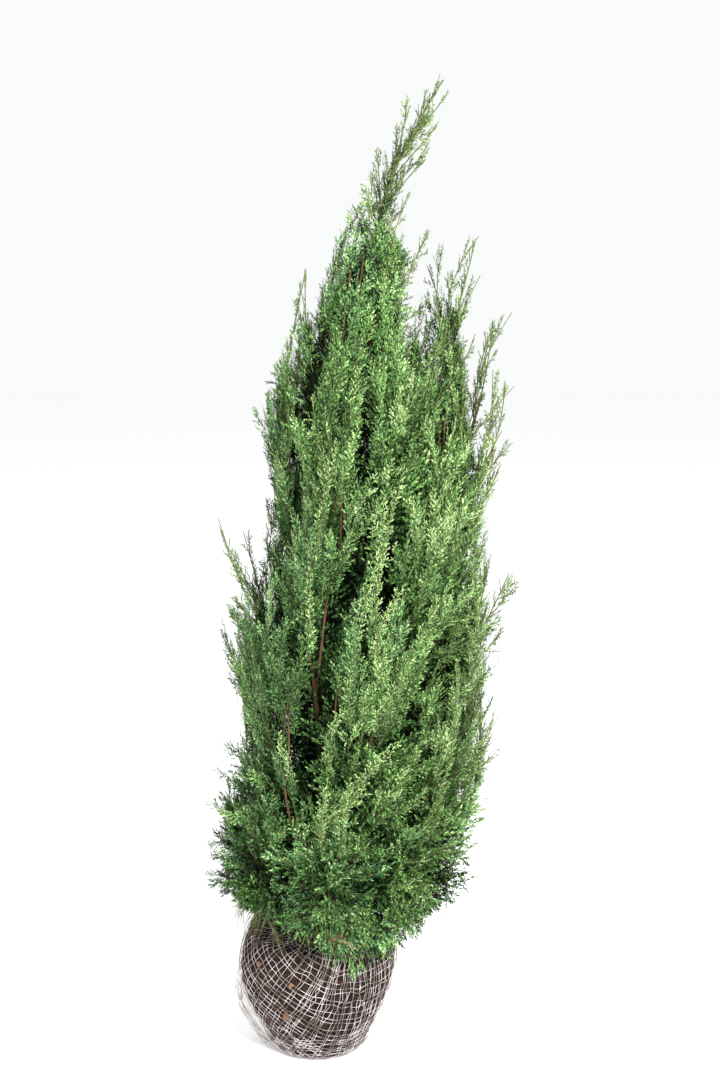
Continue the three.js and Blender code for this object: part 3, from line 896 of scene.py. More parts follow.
# %% Fronds on twigs
FACING_PLAY = 0.35  # how far a frond's flat side strays from facing out of the crown
ANGLE_PLAY = (0.7, 1.3)  # shares of a style's angle
COURSE_PLAY = 0.1  # how far a frond strays from its angle
LENGTH_PLAY = (0.8, 1.15)  # shares of a style's length
END_OVERLAP = 1.02  # a frond at a twig's tip ends just past it
FROND_TONE = 0.4  # fronds of one twig differ by up to this
TIP_TONE = 0.4  # and get lighter by this towards the twig's tip: paler young growth there, and painted shade at the twig's base
# fronds get lighter or darker by how far they roll out of the twig's plane: painted light and shade
ROLL_PAINTED_LIGHT = 0.2
DROOP_HEIGHT = (215, 320)  # fronds rooted below the first height hang, above the second they rise
FROND_BEND = (-0.34, 0.16)


def fronds_on(twigs, style, rng):
    """Fronds by turns left and right along twigs, and one at the end of each twig."""
    beside = (twigs["reach"] * (style["last"] - style["first"]) / style["spacing"]).astype(int)
    count = beside + 1
    which = np.repeat(np.arange(len(count)), count)
    order = np.arange(len(which)) - np.repeat(np.cumsum(count) - count, count)
    ending = order == beside[which]
    u = lerp(style["first"], style["last"], order / np.maximum(beside[which], 1))
    u = np.where(ending, style["end"], u)[:, None]
    foot, bend, tip = (twigs[key][which] for key in ("foot", "bend", "tip"))
    root = (1 - u) ** 2 * foot + 2 * u * (1 - u) * bend + u**2 * tip
    course = unit(2 * (1 - u) * (bend - foot) + 2 * u * (tip - bend))
    total = len(which)
    side = np.where(ending, 0, np.where(order % 2, 1, -1))
    face = unit(outward(root) + FACING_PLAY * rng.normal(size=(total, 3)))
    across = unit(np.cross(face, course))
    roll = rng.normal(0, math.radians(style["roll"]), total)
    across = turned(across, course, roll * side)
    angle = np.radians(style["angle"] * rng.uniform(*ANGLE_PLAY, total)) * side
    along = course * np.cos(angle)[:, None] + across * np.sin(angle)[:, None]
    along = unit(along + COURSE_PLAY * rng.normal(size=(total, 3)))
    face = unit(face - along * (face * along).sum(-1, keepdims=True))
    length = style["length"] * lerp(1, style["shorten"], u[:, 0]) * rng.uniform(*LENGTH_PLAY, total)
    if style["end"] < 1:
        length = np.where(ending, (1 - style["end"]) * twigs["reach"][which] * END_OVERLAP, length)
    tone = twigs["tone"][which] + FROND_TONE * rng.uniform(size=total) + TIP_TONE * u[:, 0]
    low, high = DROOP_HEIGHT
    hang = np.clip((root[:, 2] - low) / (high - low), 0, 1)
    return {
        "root": root, "along": along, "face": face, "length": length,
        "breadth": np.full(total, style["breadth"]), "bend": lerp(*FROND_BEND, hang),
        "sparse": np.full(total, style["sparse"]), "coarse": np.full(total, style["coarse"]),
        "proud": np.full(total, style["proud"]), "tone": tone + ROLL_PAINTED_LIGHT * np.sin(roll) + style["glow"],
        "hue": twigs["hue"][which], "storey": twigs["storey"][which],
    }


# %% [markdown]
# ## Shoots with a place of their own
# One plant is told from another by its boldest shoots: the tips of its leaders, whips that lean out
# against the sky, plumes that stand out in front, and slim light shoots that lie along them. No even
# rule gives those, so their tips are listed here, measured in the photograph and turned into
# millimetres. Each of them still grows as the others do, from the stem nearest below it.

# %% Shoots against the sky
LEADING_SHOOTS = [
    # tip, and how far below it the shoot leaves its stem
    ((191, 0, 1527), 130), ((172, -6, 1482), 90), ((140, 8, 1502), 120), ((93, 0, 1427), 150),
    ((-25, -10, 1207), 160), ((-132, -30, 726), 150), ((-149, 10, 661), 140), ((-147, 0, 505), 130),
    ((-168, -10, 412), 110), ((120, -8, 1400), 70), ((152, -6, 1458), 70), ((100, -12, 1372), 80),
    ((84, 6, 1392), 90), ((205, -50, 1150), 140), ((226, 30, 1110), 160), ((268, -40, 1105), 180),
    ((275, 20, 1040), 180), ((262, -60, 1010), 180), ((180, -40, 1215), 130), ((228, 10, 1195), 150),
    ((60, 10, 1345), 120), ((78, 0, 1349), 80), ((117, -20, 1314), 80), ((155, -20, 1264), 90),
    ((277, -10, 948), 140), ((170, 0, 1258), 130), ((201, -5, 1250), 130), ((-128, 0, 800), 160),
    ((-135, 10, 745), 120), ((283, -25, 960), 150), ((262, 10, 1120), 170), ((285, -10, 520), 110),
    ((280, -15, 590), 110), ((-174, -20, 322), 70), ((-170, 10, 350), 80),
]
LEANING_SHOOTS = np.array([
    # tip of a long shoot that leans out of the crown, and the shoulder that it leans from
    ((-13, 8, 1253), (-47, 8, 1094)), ((143, -14, 1366), (114, -14, 1305)),
    ((173, -20, 1309), (138, -20, 1240)), ((160, -30, 1195), (133, -30, 1176)),
    ((194, 0, 1290), (172, 0, 1203)), ((247, 0, 1302), (185, 0, 1222)),
    ((251, 10, 1244), (205, 10, 1156)), ((299, 0, 1189), (234, 0, 1094)),
    ((271, 0, 1171), (243, 0, 1100)), ((242, -20, 1157), (228, -20, 1102)),
    ((303, -10, 1078), (234, -10, 1005)), ((290, -10, 1037), (244, -10, 991)),
    ((306, 20, 988), (256, 20, 939)), ((288, 12, 1007), (261, 12, 959)), ((318, 0, 772), (259, 0, 705)),
    ((291, -30, 700), (258, -30, 658)), ((293, 15, 552), (258, 15, 476)),
    ((291, -20, 497), (249, -20, 468)), ((-151, 0, 872), (-115, 0, 734)),
], float)
TOP_WHIPS = np.array([
    # the same for the side shoots high on the trunk's leader
    ((197, -4, 1506), (176, -4, 1478)), ((167, 4, 1513), (158, 4, 1462)),
    ((183, -8, 1461), (156, -8, 1432)), ((173, 6, 1431), (143, 6, 1402)),
    ((166, -10, 1413), (136, -10, 1386)), ((129, 8, 1459), (121, 8, 1412)),
], float)
TOP_TUFTS = np.array([
    # and for the fuller ones that make the column below them
    ((90, -4, 1410), (78, -4, 1335)), ((112, -8, 1352), (104, -8, 1300)),
    ((82, -12, 1372), (76, -12, 1310)),
], float)
BACK_SHOOTS = 18  # the back isn't in the photograph, so its shoots are spread by rule
back_tips = crown_places(CROWN["trunk"], 3 * BACK_SHOOTS, 430, 1250, 0.98, 1.04)
back_tips = back_tips[back_tips[:, 1] > 40][:BACK_SHOOTS]

# %% Plumes and slim shoots in front
FRONT_PLUMES = np.array([
    # tip and foot of the plumes that stand out most in front and at the edges
    ((126, -160, 950), (37, -110, 699)), ((229, -140, 782), (128, -110, 600)),
    ((145, -175, 699), (47, -110, 492)), ((205, -140, 914), (140, -100, 720)),
    ((48, -150, 972), (25, -100, 782)), ((25, -185, 569), (-3, -110, 429)),
    ((-62, -115, 800), (-50, -90, 600)), ((-98, -95, 742), (-75, -80, 560)),
    ((-24, -148, 838), (-25, -120, 640)), ((-112, -70, 700), (-90, -60, 520)),
    ((-84, -130, 640), (-60, -110, 480)), ((236, -92, 705), (190, -72, 520)),
    ((256, -52, 640), (215, -42, 470)), ((214, -122, 645), (165, -100, 460)),
    ((188, -142, 565), (140, -112, 400)), ((240, -72, 560), (200, -60, 400)),
    ((244, -60, 790), (205, -50, 600)), ((266, -20, 640), (222, -15, 450)),
    ((260, 22, 600), (218, 16, 420)), ((258, -12, 555), (212, -10, 380)),
    ((246, -34, 480), (202, -28, 330)), ((254, 18, 505), (208, 14, 350)),
    ((236, -42, 420), (188, -32, 290)), ((240, 12, 440), (192, 10, 300)),
    ((234, -30, 665), (190, -20, 520)), ((228, 12, 690), (186, 10, 540)),
    ((214, -30, 385), (160, -22, 290)), ((204, -62, 355), (150, -50, 280)),
    ((200, 22, 345), (150, 16, 270)),
], float)
LANCES = np.array([
    # across and up: the tip of a slim shoot that lies in front of the crown, and where it comes out
    ((92, 839), (21, 586)), ((129, 951), (69, 777)), ((179, 764), (85, 577)), ((38, 609), (-3, 511)),
    ((122, 563), (37, 486)), ((17, 489), (1, 418)), ((-4, 816), (-8, 697)), ((127, 792), (76, 709)),
    ((-56, 568), (-20, 484)), ((32, 994), (6, 847)), ((102, 927), (88, 845)),
], float)
LANCE_SHARES = (1.02, 0.97)  # how far out of the crown's middle the two lie
LANCE_HUE = 0.2  # a clear green
LANCE_TONE = 0.6  # and all of them light
RIM_LEFT = 176  # the crown's right-hand rim, from here on, is its densest part
rim_tips = crown_places(BODY["trunk"], 260, 400, 750, 0.72, 1.0)
rim_tips = rim_tips[rim_tips[:, 0] > RIM_LEFT]
FILLS = np.array([
    # places inside that the rows of places miss, where sky would show through the crown
    (-40, 30, 600), (-20, 60, 580), (-50, 70, 590), (-30, 90, 600), (-10, 30, 610), (-45, 100, 570),
    (-25, 10, 620), (-60, 40, 620), (-35, 60, 640), (-40, 0, 570),
], float)


def on_front(places, share):
    """Points in front of the crown's middle, at a share of the way out, from places across and up."""
    across, height = places.T
    middle, half, depth = crown_at(BODY["trunk"], height)
    level = np.sqrt(np.clip(1 - ((across - middle) / half) ** 2, 0.05, 1))
    return np.stack([across, -share * depth * level, height], -1)


lance_points = np.stack([on_front(LANCES[:, n], share) for n, share in enumerate(LANCE_SHARES)], 1)
print(len(FRONT_PLUMES), "front plumes,", len(rim_tips), "on the rim,", len(LANCES), "slim shoots")

# %% [markdown]
# ## Growing it all
# The table is the even part of the growth: rows of places at several depths of the crown, each with
# its style of frond. The listed shoots follow, then fronds along the plumes' own stems. Random
# numbers come from seeded generators in a fixed order, so the plant is the same each time.

# %% Grow the crown
GROWTH = [
    # column, count, lowest and highest place, shares of the way out, least and greatest drop, style
    ("trunk", 280, 400, 1335, 0.88, 1.02, 190, 330, FULL),
    ("second_leader", 76, 850, 1205, 0.8, 1.0, 150, 280, FULL),
    ("trunk", 210, 250, 1280, 0.55, 0.84, 60, 150, FULL),
    ("second_leader", 46, 800, 1120, 0.45, 0.80, 60, 150, FULL),
    ("trunk", 130, 235, 430, 0.82, 0.97, 50, 130, SKIRT),
    ("trunk", 80, 165, 260, 0.85, 1.0, -50, -20, SKIRT),
    ("trunk", 300, 270, 1240, 0.1, 0.7, 60, 140, INNER),
    ("trunk", 120, 225, 420, 0.3, 0.82, 30, 90, INNER),
    ("trunk", 60, 208, 290, 0.35, 0.9, 10, 50, INNER),
    ("trunk", 60, 450, 720, 0.0, 0.5, 60, 140, INNER),
]
RIM_DROP = (60, 150)
BACK_DROP = 170
FILL_DROP = 90
SHOULDER_DROP = 60
LEADING_START = 0.62  # share of a plume's stem that has bark, the rest is its green leading shoot
STEM_PART = (0.25, 0.78)  # the part of a stem that carries fronds itself
FEATHER_PART = (0, 0.62)  # and those of the two leaders' tips, feathery outside and dense inside
COLUMN_PART = (0, 0.46)
LEADERS = [plume for plume in PLUMES if plume["name"].endswith("_tip")]


def shouldered_twigs(pairs, rng):
    """Twigs that leave a stem, come out of the crown at a shoulder and bend over to a tip."""
    tips, shoulders = pairs[:, 0], pairs[:, 1]
    return {**twigs_to(tips, fan_below(shoulders, SHOULDER_DROP), rng), "bend": shoulders}


def lance_twigs(rng):
    """Slim light shoots that lie along the crown's front."""
    twigs = shouldered_twigs(lance_points, rng)
    return {**twigs, "hue": np.full(len(LANCES), LANCE_HUE), "tone": np.full(len(LANCES), LANCE_TONE)}


def grow_crown():
    """All twigs and fronds of the crown, its front plumes and its leading shoots."""
    rng = np.random.default_rng([SEED, 400])
    late = np.random.default_rng([SEED, 401])
    groups = []
    for column, count, low, high, inner, outer, least, greatest, style in GROWTH:
        places = crown_places(BODY[column], count, low, high, inner, outer)
        groups.append((dropped_twigs(places, rng.uniform(least, greatest, count), rng), style))
    groups.append((twigs_to(FRONT_PLUMES[:, 0], FRONT_PLUMES[:, 1], rng), FRONT))
    groups.append((dropped_twigs(rim_tips, rng.uniform(*RIM_DROP, len(rim_tips)), rng), FRONT))
    groups.append((lance_twigs(rng), LANCE))
    groups.append((shouldered_twigs(LEANING_SHOOTS, rng), WHIP))
    tips = np.array([tip for tip, _ in LEADING_SHOOTS], float)
    groups.append((dropped_twigs(tips, [drop for _, drop in LEADING_SHOOTS], rng), WHIP))
    groups.append((dropped_twigs(back_tips, BACK_DROP, rng), WHIP))
    groups += [(stem_twig(plume, LEADING_START, 1, rng), WHIP) for plume in PLUMES]
    groups += [(stem_twig(plume, *STEM_PART, rng), STEM) for plume in PLUMES]
    groups += [(stem_twig(plume, *FEATHER_PART, rng), FEATHER) for plume in LEADERS]
    groups += [(stem_twig(plume, *COLUMN_PART, rng), COLUMN) for plume in LEADERS]
    groups.append((dropped_twigs(FILLS, FILL_DROP, late), INNER))
    groups.append((shouldered_twigs(TOP_WHIPS, late), WHIP))
    groups.append((shouldered_twigs(TOP_TUFTS, late), TUFT))
    for rows, style in groups:
        rows["free"] = np.full(len(rows["reach"]), style["sparse"])
    twigs = joined([rows for rows, _ in groups])
    return twigs, joined([fronds_on(rows, style, rng) for rows, style in groups])


TWIGS, FRONDS = grow_crown()
print(len(TWIGS["reach"]), "twigs,", len(FRONDS["length"]), "fronds")

# %% [markdown]
# ## Shoots on the fronds
# A frond is built like a feather: side branches by turns left and right, longest in its middle, and
# each a row of flat shoots. The loop takes one step along all fronds at once, so there are only a few
# dozen rounds of it.

# %% Shoots along every frond
SPRIG_LENGTH = 13
SPRIG_START = 2  # from the frond's foot to its first side branch
SPRIG_STEPS = (4.6, 5.8)  # from branch to branch on full and on sparse fronds
SPRIG_ANGLES = ((36, 22), (32, 24))  # at the foot and at the tip of full and of sparse fronds
SPRIG_HOP = 9  # from shoot to shoot along a side branch
MOST_HOPS = 4
LEAST_HOP = 0.3  # share of a hop that the branch still has to reach past a shoot's root
LEAST_SPRIG = 0.5
SIZE_PLAY = (0.85, 1.2)
SPRIG_PLAY = 0.13  # how far a shoot strays from its branch's direction
SPRIG_TURN = 0.32  # and from facing as its frond does
SPRIG_TONE = 0.72  # how much lighter or darker than its frond it can be
FULL_SHAPES = 5
THIN_SHAPES = 3


def frond_outline(share):
    """Half the breadth of a frond at a share of its length."""
    return np.sin(np.pi * np.clip(share, 0, 1) ** 0.7) ** 0.8


def sprigs_of(fronds, rng):
    """The flat shoots of all fronds: place, direction, facing, size, shape, tone and the frond of each."""
    sparse = fronds["sparse"] > 0
    full_step, sparse_step = SPRIG_STEPS
    step = np.where(sparse, sparse_step, full_step) * fronds["coarse"]
    lift = np.array([0.0, 0, 1]) - fronds["along"] * fronds["along"][:, 2:3]
    rows = []
    for k in range(int((fronds["length"] / step).max()) + 1):
        share = (SPRIG_START + k * step) / fronds["length"]
        on = np.flatnonzero(share < 1)
        s, thin = share[on], sparse[on]
        length = fronds["length"][on]
        rise = (fronds["bend"][on] * length)[:, None] * lift[on]
        course = unit(fronds["along"][on] + 2 * fronds["bend"][on][:, None] * lift[on] * s[:, None])
        place = fronds["root"][on] + fronds["along"][on] * (s * length)[:, None] + rise * (s**2)[:, None]
        across = np.cross(fronds["face"][on], course)
        full_angle, thin_angle = (lerp(*ends, s) for ends in SPRIG_ANGLES)
        angle = np.radians(np.where(thin, thin_angle, full_angle))
        side = 1 if k % 2 else -1
        shoot = course * np.cos(angle)[:, None] + side * across * np.sin(angle)[:, None]
        reach = fronds["breadth"][on] * length * frond_outline(s) / np.sin(angle)
        hop = SPRIG_HOP * fronds["coarse"][on]
        for j in range(MOST_HOPS):
            here = np.flatnonzero(reach > (j + LEAST_HOP) * hop) if j else np.arange(len(on))
            if not len(here):
                break
            total = len(here)
            frond = on[here]
            along = unit(shoot[here] + SPRIG_PLAY * rng.normal(size=(total, 3)))
            size = np.clip((reach[here] - j * hop[here]) / SPRIG_LENGTH, LEAST_SPRIG, 1)
            size = size * rng.uniform(*SIZE_PLAY, total)
            thin_shape = FULL_SHAPES + rng.integers(0, THIN_SHAPES, total)
            full_shape = rng.integers(0, FULL_SHAPES, total)
            facing = unit(fronds["face"][frond] + SPRIG_TURN * rng.normal(size=(total, 3)))
            rows.append({
                "place": place[here] + shoot[here] * (j * hop[here])[:, None],
                "along": along, "facing": facing, "size": size * fronds["coarse"][frond],
                "shape": np.where(thin[here], thin_shape, full_shape),
                "outer": np.maximum(s[here], (j + 1) * hop[here] / np.maximum(reach[here], hop[here])),
                "tone": fronds["tone"][frond] + SPRIG_TONE * rng.uniform(-1, 1, total),
                "proud": fronds["proud"][frond], "frond": frond,
            })
    return joined(rows)


SPRIGS = sprigs_of(FRONDS, np.random.default_rng([SEED, 500]))
print(len(SPRIGS["size"]), "shoots before trimming")

# %% [markdown]
# ## Trimming
# Growth by rule is too even and reaches too far. This step does what light, shade and the packer's
# hands did to the real plant: shoots outside the crown's body go, unless they belong to a leading
# shoot, the skirt ends in a hem over the ball, and dark furrows open between the plumes, with bare
# stems in them. Inside the crown most shoots go too, since nobody sees them. Those that stay there
# are larger, and they and the shoots just above the hem get painted shade.

# %% The hem, the bare stems and the furrows
HEM = np.array([
    # across, and the height of the foliage's hem there in front
    (-140, 312), (-105, 292), (-54, 268), (-13, 246), (23, 212), (61, 176), (100, 208), (131, 220),
    (165, 260), (195, 298),
], float)
HEM_FRONT = 130  # how far in front of the middle that is
HEM_SLOPE = 0.46  # the hem falls towards the sides by this much
HEM_DEPTH = 90  # shoots up to this far above it are shaded by those above them
HEM_DIMMING = 0.5
BARE_STEMS = [
    # courses of the stems that show between the plumes in front
    ((-6, -40, 560), (9, -104, 676), (21, -112, 778), (39, -112, 842), (41, -104, 909), (60, -80, 1000)),
    ((-30, -40, 300), (-34, -118, 406), (-45, -122, 473), (-39, -124, 529), (-39, -112, 608)),
    ((44, -30, 1060), (47, -60, 1146), (47, -62, 1186), (53, -58, 1228), (56, -46, 1262)),
    ((58, -20, 1120), (68, -55, 1220), (75, -52, 1274)),
    ((10, -50, 480), (31, -122, 587), (34, -124, 622), (44, -110, 680)),
    ((170, -30, 900), (193, -60, 984), (196, -58, 1029), (204, -40, 1090)),
]
FURROWS = [
    # half width, and the course of a dark furrow in front, as places across and up
    (24, ((-24, 505), (-12, 560), (12, 625), (14, 690), (33, 745), (64, 825), (98, 930))),
    (17, ((33, 500), (52, 555), (92, 560))),
    (17, ((112, 545), (142, 562), (150, 600))),
    (17, ((-66, 545), (-58, 580))),
    (17, ((-6, 1030), (2, 1095), (16, 1150))),
    (17, ((100, 760), (112, 830))),
    # slots in front of the bare stems
    (10, ((9, 676), (21, 778), (39, 842), (41, 909))),
    (8, ((-39, 529), (-39, 608))),
    (8, ((-34, 406), (-45, 473))),
    (7, ((47, 1146), (47, 1186))),
    (6, ((53, 1228), (53, 1250))),
    (7, ((68, 1220), (75, 1274))),
    (9, ((31, 587), (34, 622))),
    (7, ((193, 984), (196, 1029))),
]
FURROW_FRONT = -40  # furrows lie in front of this


def in_furrow(points):
    """How deep points lie in a furrow: above 0 inside one, 1 in its middle."""
    deepest = np.full(len(points), -1.0)
    for width, course in FURROWS:
        corners = np.array(course, float)
        for start, end in zip(corners, corners[1:]):
            along = end - start
            t = np.clip((points[:, [0, 2]] - start) @ along / (along @ along), 0, 1)
            gap = np.linalg.norm(points[:, [0, 2]] - start - t[:, None] * along, axis=1)
            deepest = np.maximum(deepest, 1 - gap / width)
    return np.where(points[:, 1] < FURROW_FRONT, deepest, -1)


# %% Trim the shoots
BALL_CLEAR = 132  # no shoot lies nearer to the ball's axis than this
BALL_TOP = BALL_HEIGHT + 6  # unless it is above this
EDGE = 1.02  # share of the way out where fronds end
EDGE_PLAY = 0.14  # some end this much further out
STEM_EDGE = 1.2  # foliage round a plume's own stem may stand out of the body this far
STRAY = 6  # shoots may pass the crown's outline by this much in front and behind
WIDEST = (-192, 323)  # and no shoot ends further to the left or right than this
FURROW_FLOOR = 0.62  # furrows are cut into the crown down to this share of the way out
FURROW_PLAY = 0.5  # how ragged their edges are
THINNING = ((0.5, 0.74, 0.92), (0.15, 0.34, 1))  # shares of the way out, and the share of shoots kept there
LARGEST = 1.5  # the shoots kept inside are enlarged up to this, and larger ones aren't thinned
LIT = 0.98  # further in than this shoots get dimmer
DIMMING = 2.0
DARKEST = 0.5  # the way in over which they do


def trimmed(sprigs):
    """The shoots that stay: inside the body or on a leading shoot, outside ball and furrows."""
    rng = np.random.default_rng([SEED, 501])
    place, share = sprigs["place"], body_share(sprigs["place"])
    thin = sprigs["shape"] >= FULL_SHAPES
    edge = EDGE + EDGE_PLAY * rng.uniform(size=len(FRONDS["length"]))[sprigs["frond"]]
    in_ball = (place[:, 2] < BALL_TOP) & (np.hypot(place[:, 0], place[:, 1]) < BALL_CLEAR)
    opened = in_furrow(place) > rng.uniform(0, FURROW_PLAY, len(place))
    opened &= (share > FURROW_FLOOR) & (sprigs["proud"] < 1)
    on_stem = (sprigs["proud"] > 0) & (share < STEM_EDGE)
    kept = np.where(thin | (sprigs["size"] > LARGEST), 1, np.interp(share, *THINNING))
    thinned = rng.uniform(size=len(place)) > kept
    hem = np.interp(place[:, 0], *HEM.T) - HEM_SLOPE * np.maximum(HEM_FRONT - np.abs(place[:, 1]), 0)
    end = place + sprigs["along"] * (SPRIG_LENGTH * sprigs["size"])[:, None]
    stray = np.abs(end[:, 1]) > STRAY + np.interp(place[:, 2], *CROWN["trunk"][:, [0, 3]].T)
    stray |= (end[:, 0] < WIDEST[0]) | (end[:, 0] > WIDEST[1])
    fits = (share < edge) | thin | on_stem
    keep = fits & ~stray & ~in_ball & ~opened & ~thinned & (place[:, 2] > hem)
    # painted shade: shoots deep in the crown and just above the hem are made darker
    tone = sprigs["tone"] - np.where(thin, 0, DIMMING * np.clip(LIT - share, 0, DARKEST))
    tone = tone - HEM_DIMMING * np.clip(1 - (place[:, 2] - hem) / HEM_DEPTH, 0, 1)
    size = np.minimum(sprigs["size"] / np.sqrt(kept), LARGEST)
    changed = {**sprigs, "share": share, "size": size, "tone": tone}
    return {key: value[keep] for key, value in changed.items()}


SPRIGS = trimmed(SPRIGS)
print(len(SPRIGS["size"]), "shoots after trimming")

# %% [markdown]
# ## Dealing out the greens
# Sprays of one plant aren't all the same green. Those in the shade are bluish and dark, those in the
# sun are yellowish, young tips are paler, and a few by the ball have died. Each twig got a hue as it
# grew, and here every shoot is given its green from it. Plain colours that are dealt out like this
# need no image on the leaves.

# %% Deal out the greens
KINDS = list(LEAF_COLOURS)
BLUE, MID, FRESH, YOUNG, SHADE, DEAD = range(len(KINDS))
BLUE_BELOW = -0.12  # hues
FRESH_ABOVE = 0.5
DEAD_PLACE = (70, 290)  # fronds left of and below this can be dead
DEAD_SHARE = 0.09
OUTER_TIPS = 0.9  # beyond this share of a frond some shoots are fresh
OUTER_FRESH = 0.2
WHIP_YOUNG = 0.5  # share of the shoots on whips that are young
SHADED = 0.48  # nearer to the crown's middle than this shoots are in the shade
SHADE_PLAY = 0.06
SHADE_TOP = 1240  # above this the crown is too slim to be dark inside
LEADER_SHADE_TOP = 980  # and so is the second leader's column, which starts this far to the right
LEADER_LEFT = 135


def leaf_kinds():
    """Which green each shoot is, by twig, by depth in the crown and by nearness to tips."""
    rng = np.random.default_rng([SEED, 502])
    root, hue = FRONDS["root"], FRONDS["hue"]
    frond_kind = np.where(hue < BLUE_BELOW, BLUE, np.where(hue < FRESH_ABOVE, MID, FRESH))
    low = (root[:, 0] < DEAD_PLACE[0]) & (root[:, 2] < DEAD_PLACE[1])
    dead = low & (rng.uniform(size=len(hue)) < DEAD_SHARE)
    kind = np.where(dead, DEAD, frond_kind)[SPRIGS["frond"]]
    alive = kind != DEAD
    bright = (SPRIGS["outer"] > OUTER_TIPS) & (rng.uniform(size=len(kind)) < OUTER_FRESH)
    kind = np.where(bright & alive, FRESH, kind)
    whip = SPRIGS["shape"] >= FULL_SHAPES
    young = whip & (rng.uniform(size=len(kind)) < WHIP_YOUNG)
    kind = np.where(young & alive, YOUNG, kind)
    depth = SPRIGS["share"] + rng.normal(0, SHADE_PLAY, len(kind))
    across, _, height = SPRIGS["place"].T
    slim = (height > SHADE_TOP) | ((height > LEADER_SHADE_TOP) & (across > LEADER_LEFT))
    dark = (depth < SHADED) & alive & ~whip & ~slim
    return np.where(dark, SHADE, kind)


SPRIGS["kind"] = leaf_kinds()
for n, name in enumerate(KINDS):
    print(name, int((SPRIGS["kind"] == n).sum()))

# %% [markdown]
# ## The shoots themselves
# A shoot of this tree is flat: a line of short side shoots by turns, all clad in scale leaves. Each
# side shoot is drawn as one pointed face, because a shoot is repeated more than a hundred thousand
# times. A geometry node tree puts one shape on each point, turned by two directions that the point
# carries, and realizes the copies, so that what is left is one plain mesh for each green and each
# storey of the crown.

# %% Shapes of a shoot
SHOOT_LINE = 0.72  # share of a shoot's length along which side shoots leave it
SHOOT_ANGLE = 42
SHOOTS = [
    # pairs of side shoots, and the length and width of each; first the full shapes, then the thin ones
    (3, 4.2, 1.9), (3, 4.2, 1.9), (3, 4.2, 1.9), (2, 4.2, 1.9), (3, 4.2, 1.9),
    (2, 5, 2.5), (2, 5, 2.5), (2, 5, 2.5),
]
LIFT = (-0.35, 0.5)  # how far side shoots leave the plane, as shares of their length
FLECK_GLOW = (-0.25, 0.0, 0.5, 1.25)  # they lie in each other's shade, or catch the light
ROOT_GLOW = 0.55  # share of that painted light and shade at their roots
END_GLOW = 1.3  # the one at the end is the lightest: a pale young tip with a painted highlight
END_BREADTH = 1.15  # and the broadest


def fleck(at, angle, length, width, lift):
    """The corners of one pointed face that leaves the shoot's line at an angle."""
    ahead = np.array([math.cos(angle), math.sin(angle), lift])
    aside = np.array([-math.sin(angle), math.cos(angle), 0])
    root = np.array([at, 0, 0])
    return [root - aside * width / 2, root + aside * width / 2, root + ahead * length]


def sprig_shape(number, pairs, shoot, width):
    """One flat shoot: flecks by turns left and right along its line, and one at its end."""
    rng = np.random.default_rng([SEED, 600 + number])
    points, tips = [], []
    last = 2 * pairs
    for k in range(last + 1):
        at = SPRIG_LENGTH * SHOOT_LINE * (k + rng.uniform(-0.25, 0.25)) / last
        side = 0 if k == last else 1 if k % 2 else -1
        angle = math.radians(SHOOT_ANGLE * rng.uniform(0.6, 1.4)) * side
        length = shoot * rng.uniform(0.8, 1.25)
        glow = rng.choice(FLECK_GLOW) * rng.uniform(0.7, 1.3) if k < last else END_GLOW
        breadth = width if k < last else END_BREADTH * width
        points += fleck(at, angle, length, breadth, rng.uniform(*LIFT))
        # each corner carries its fleck's painted light and shade, as the attribute named tip
        tips += [ROOT_GLOW * glow, ROOT_GLOW * glow, glow]
    faces = np.arange(len(points)).reshape(-1, 3).tolist()
    return from_arrays(f"shoot_{number}", points, faces, tip=tips)


shapes = bpy.data.collections.new("shoot_shapes")
for number, measures in enumerate(SHOOTS):
    shape = sprig_shape(number, *measures)
    bpy.context.scene.collection.objects.unlink(shape)
    shapes.objects.link(shape)


# %% The tree that sets shoots on points
def shoot_tree():
    """One shape on each point, turned by the point's directions."""
    tree, given, made = new_tree("shoots_on_points", ("Shapes", "Material"))
    info = tree.nodes.new("GeometryNodeCollectionInfo")
    info.inputs["Separate Children"].default_value = True
    info.inputs["Reset Children"].default_value = True
    turn = tree.nodes.new("FunctionNodeAxesToRotation")
    turn.primary_axis = "X"
    turn.secondary_axis = "Z"
    sow = tree.nodes.new("GeometryNodeInstanceOnPoints")
    sow.inputs["Pick Instance"].default_value = True
    links = tree.links
    links.new(given.outputs["Shapes"], info.inputs["Collection"])
    links.new(named_attribute(tree, "along", "FLOAT_VECTOR"), turn.inputs["Primary Axis"])
    links.new(named_attribute(tree, "facing", "FLOAT_VECTOR"), turn.inputs["Secondary Axis"])
    links.new(given.outputs["Geometry"], sow.inputs["Points"])
    links.new(info.outputs["Instances"], sow.inputs["Instance"])
    links.new(named_attribute(tree, "shape", "FLOAT"), sow.inputs["Instance Index"])
    links.new(turn.outputs["Rotation"], sow.inputs["Rotation"])
    links.new(named_attribute(tree, "size", "FLOAT"), sow.inputs["Scale"])
    finish_tree(tree, sow.outputs["Instances"], given, made)
    return tree


SHOOT_TREE = shoot_tree()

# %% Foliage, one piece for each green and storey
STOREY_NAMES = ("low", "middle", "high")
storey_nodes = [["foliage_" + plume["name"] for plume in PLUMES if storey_of(plume) == n] for n in range(3)]


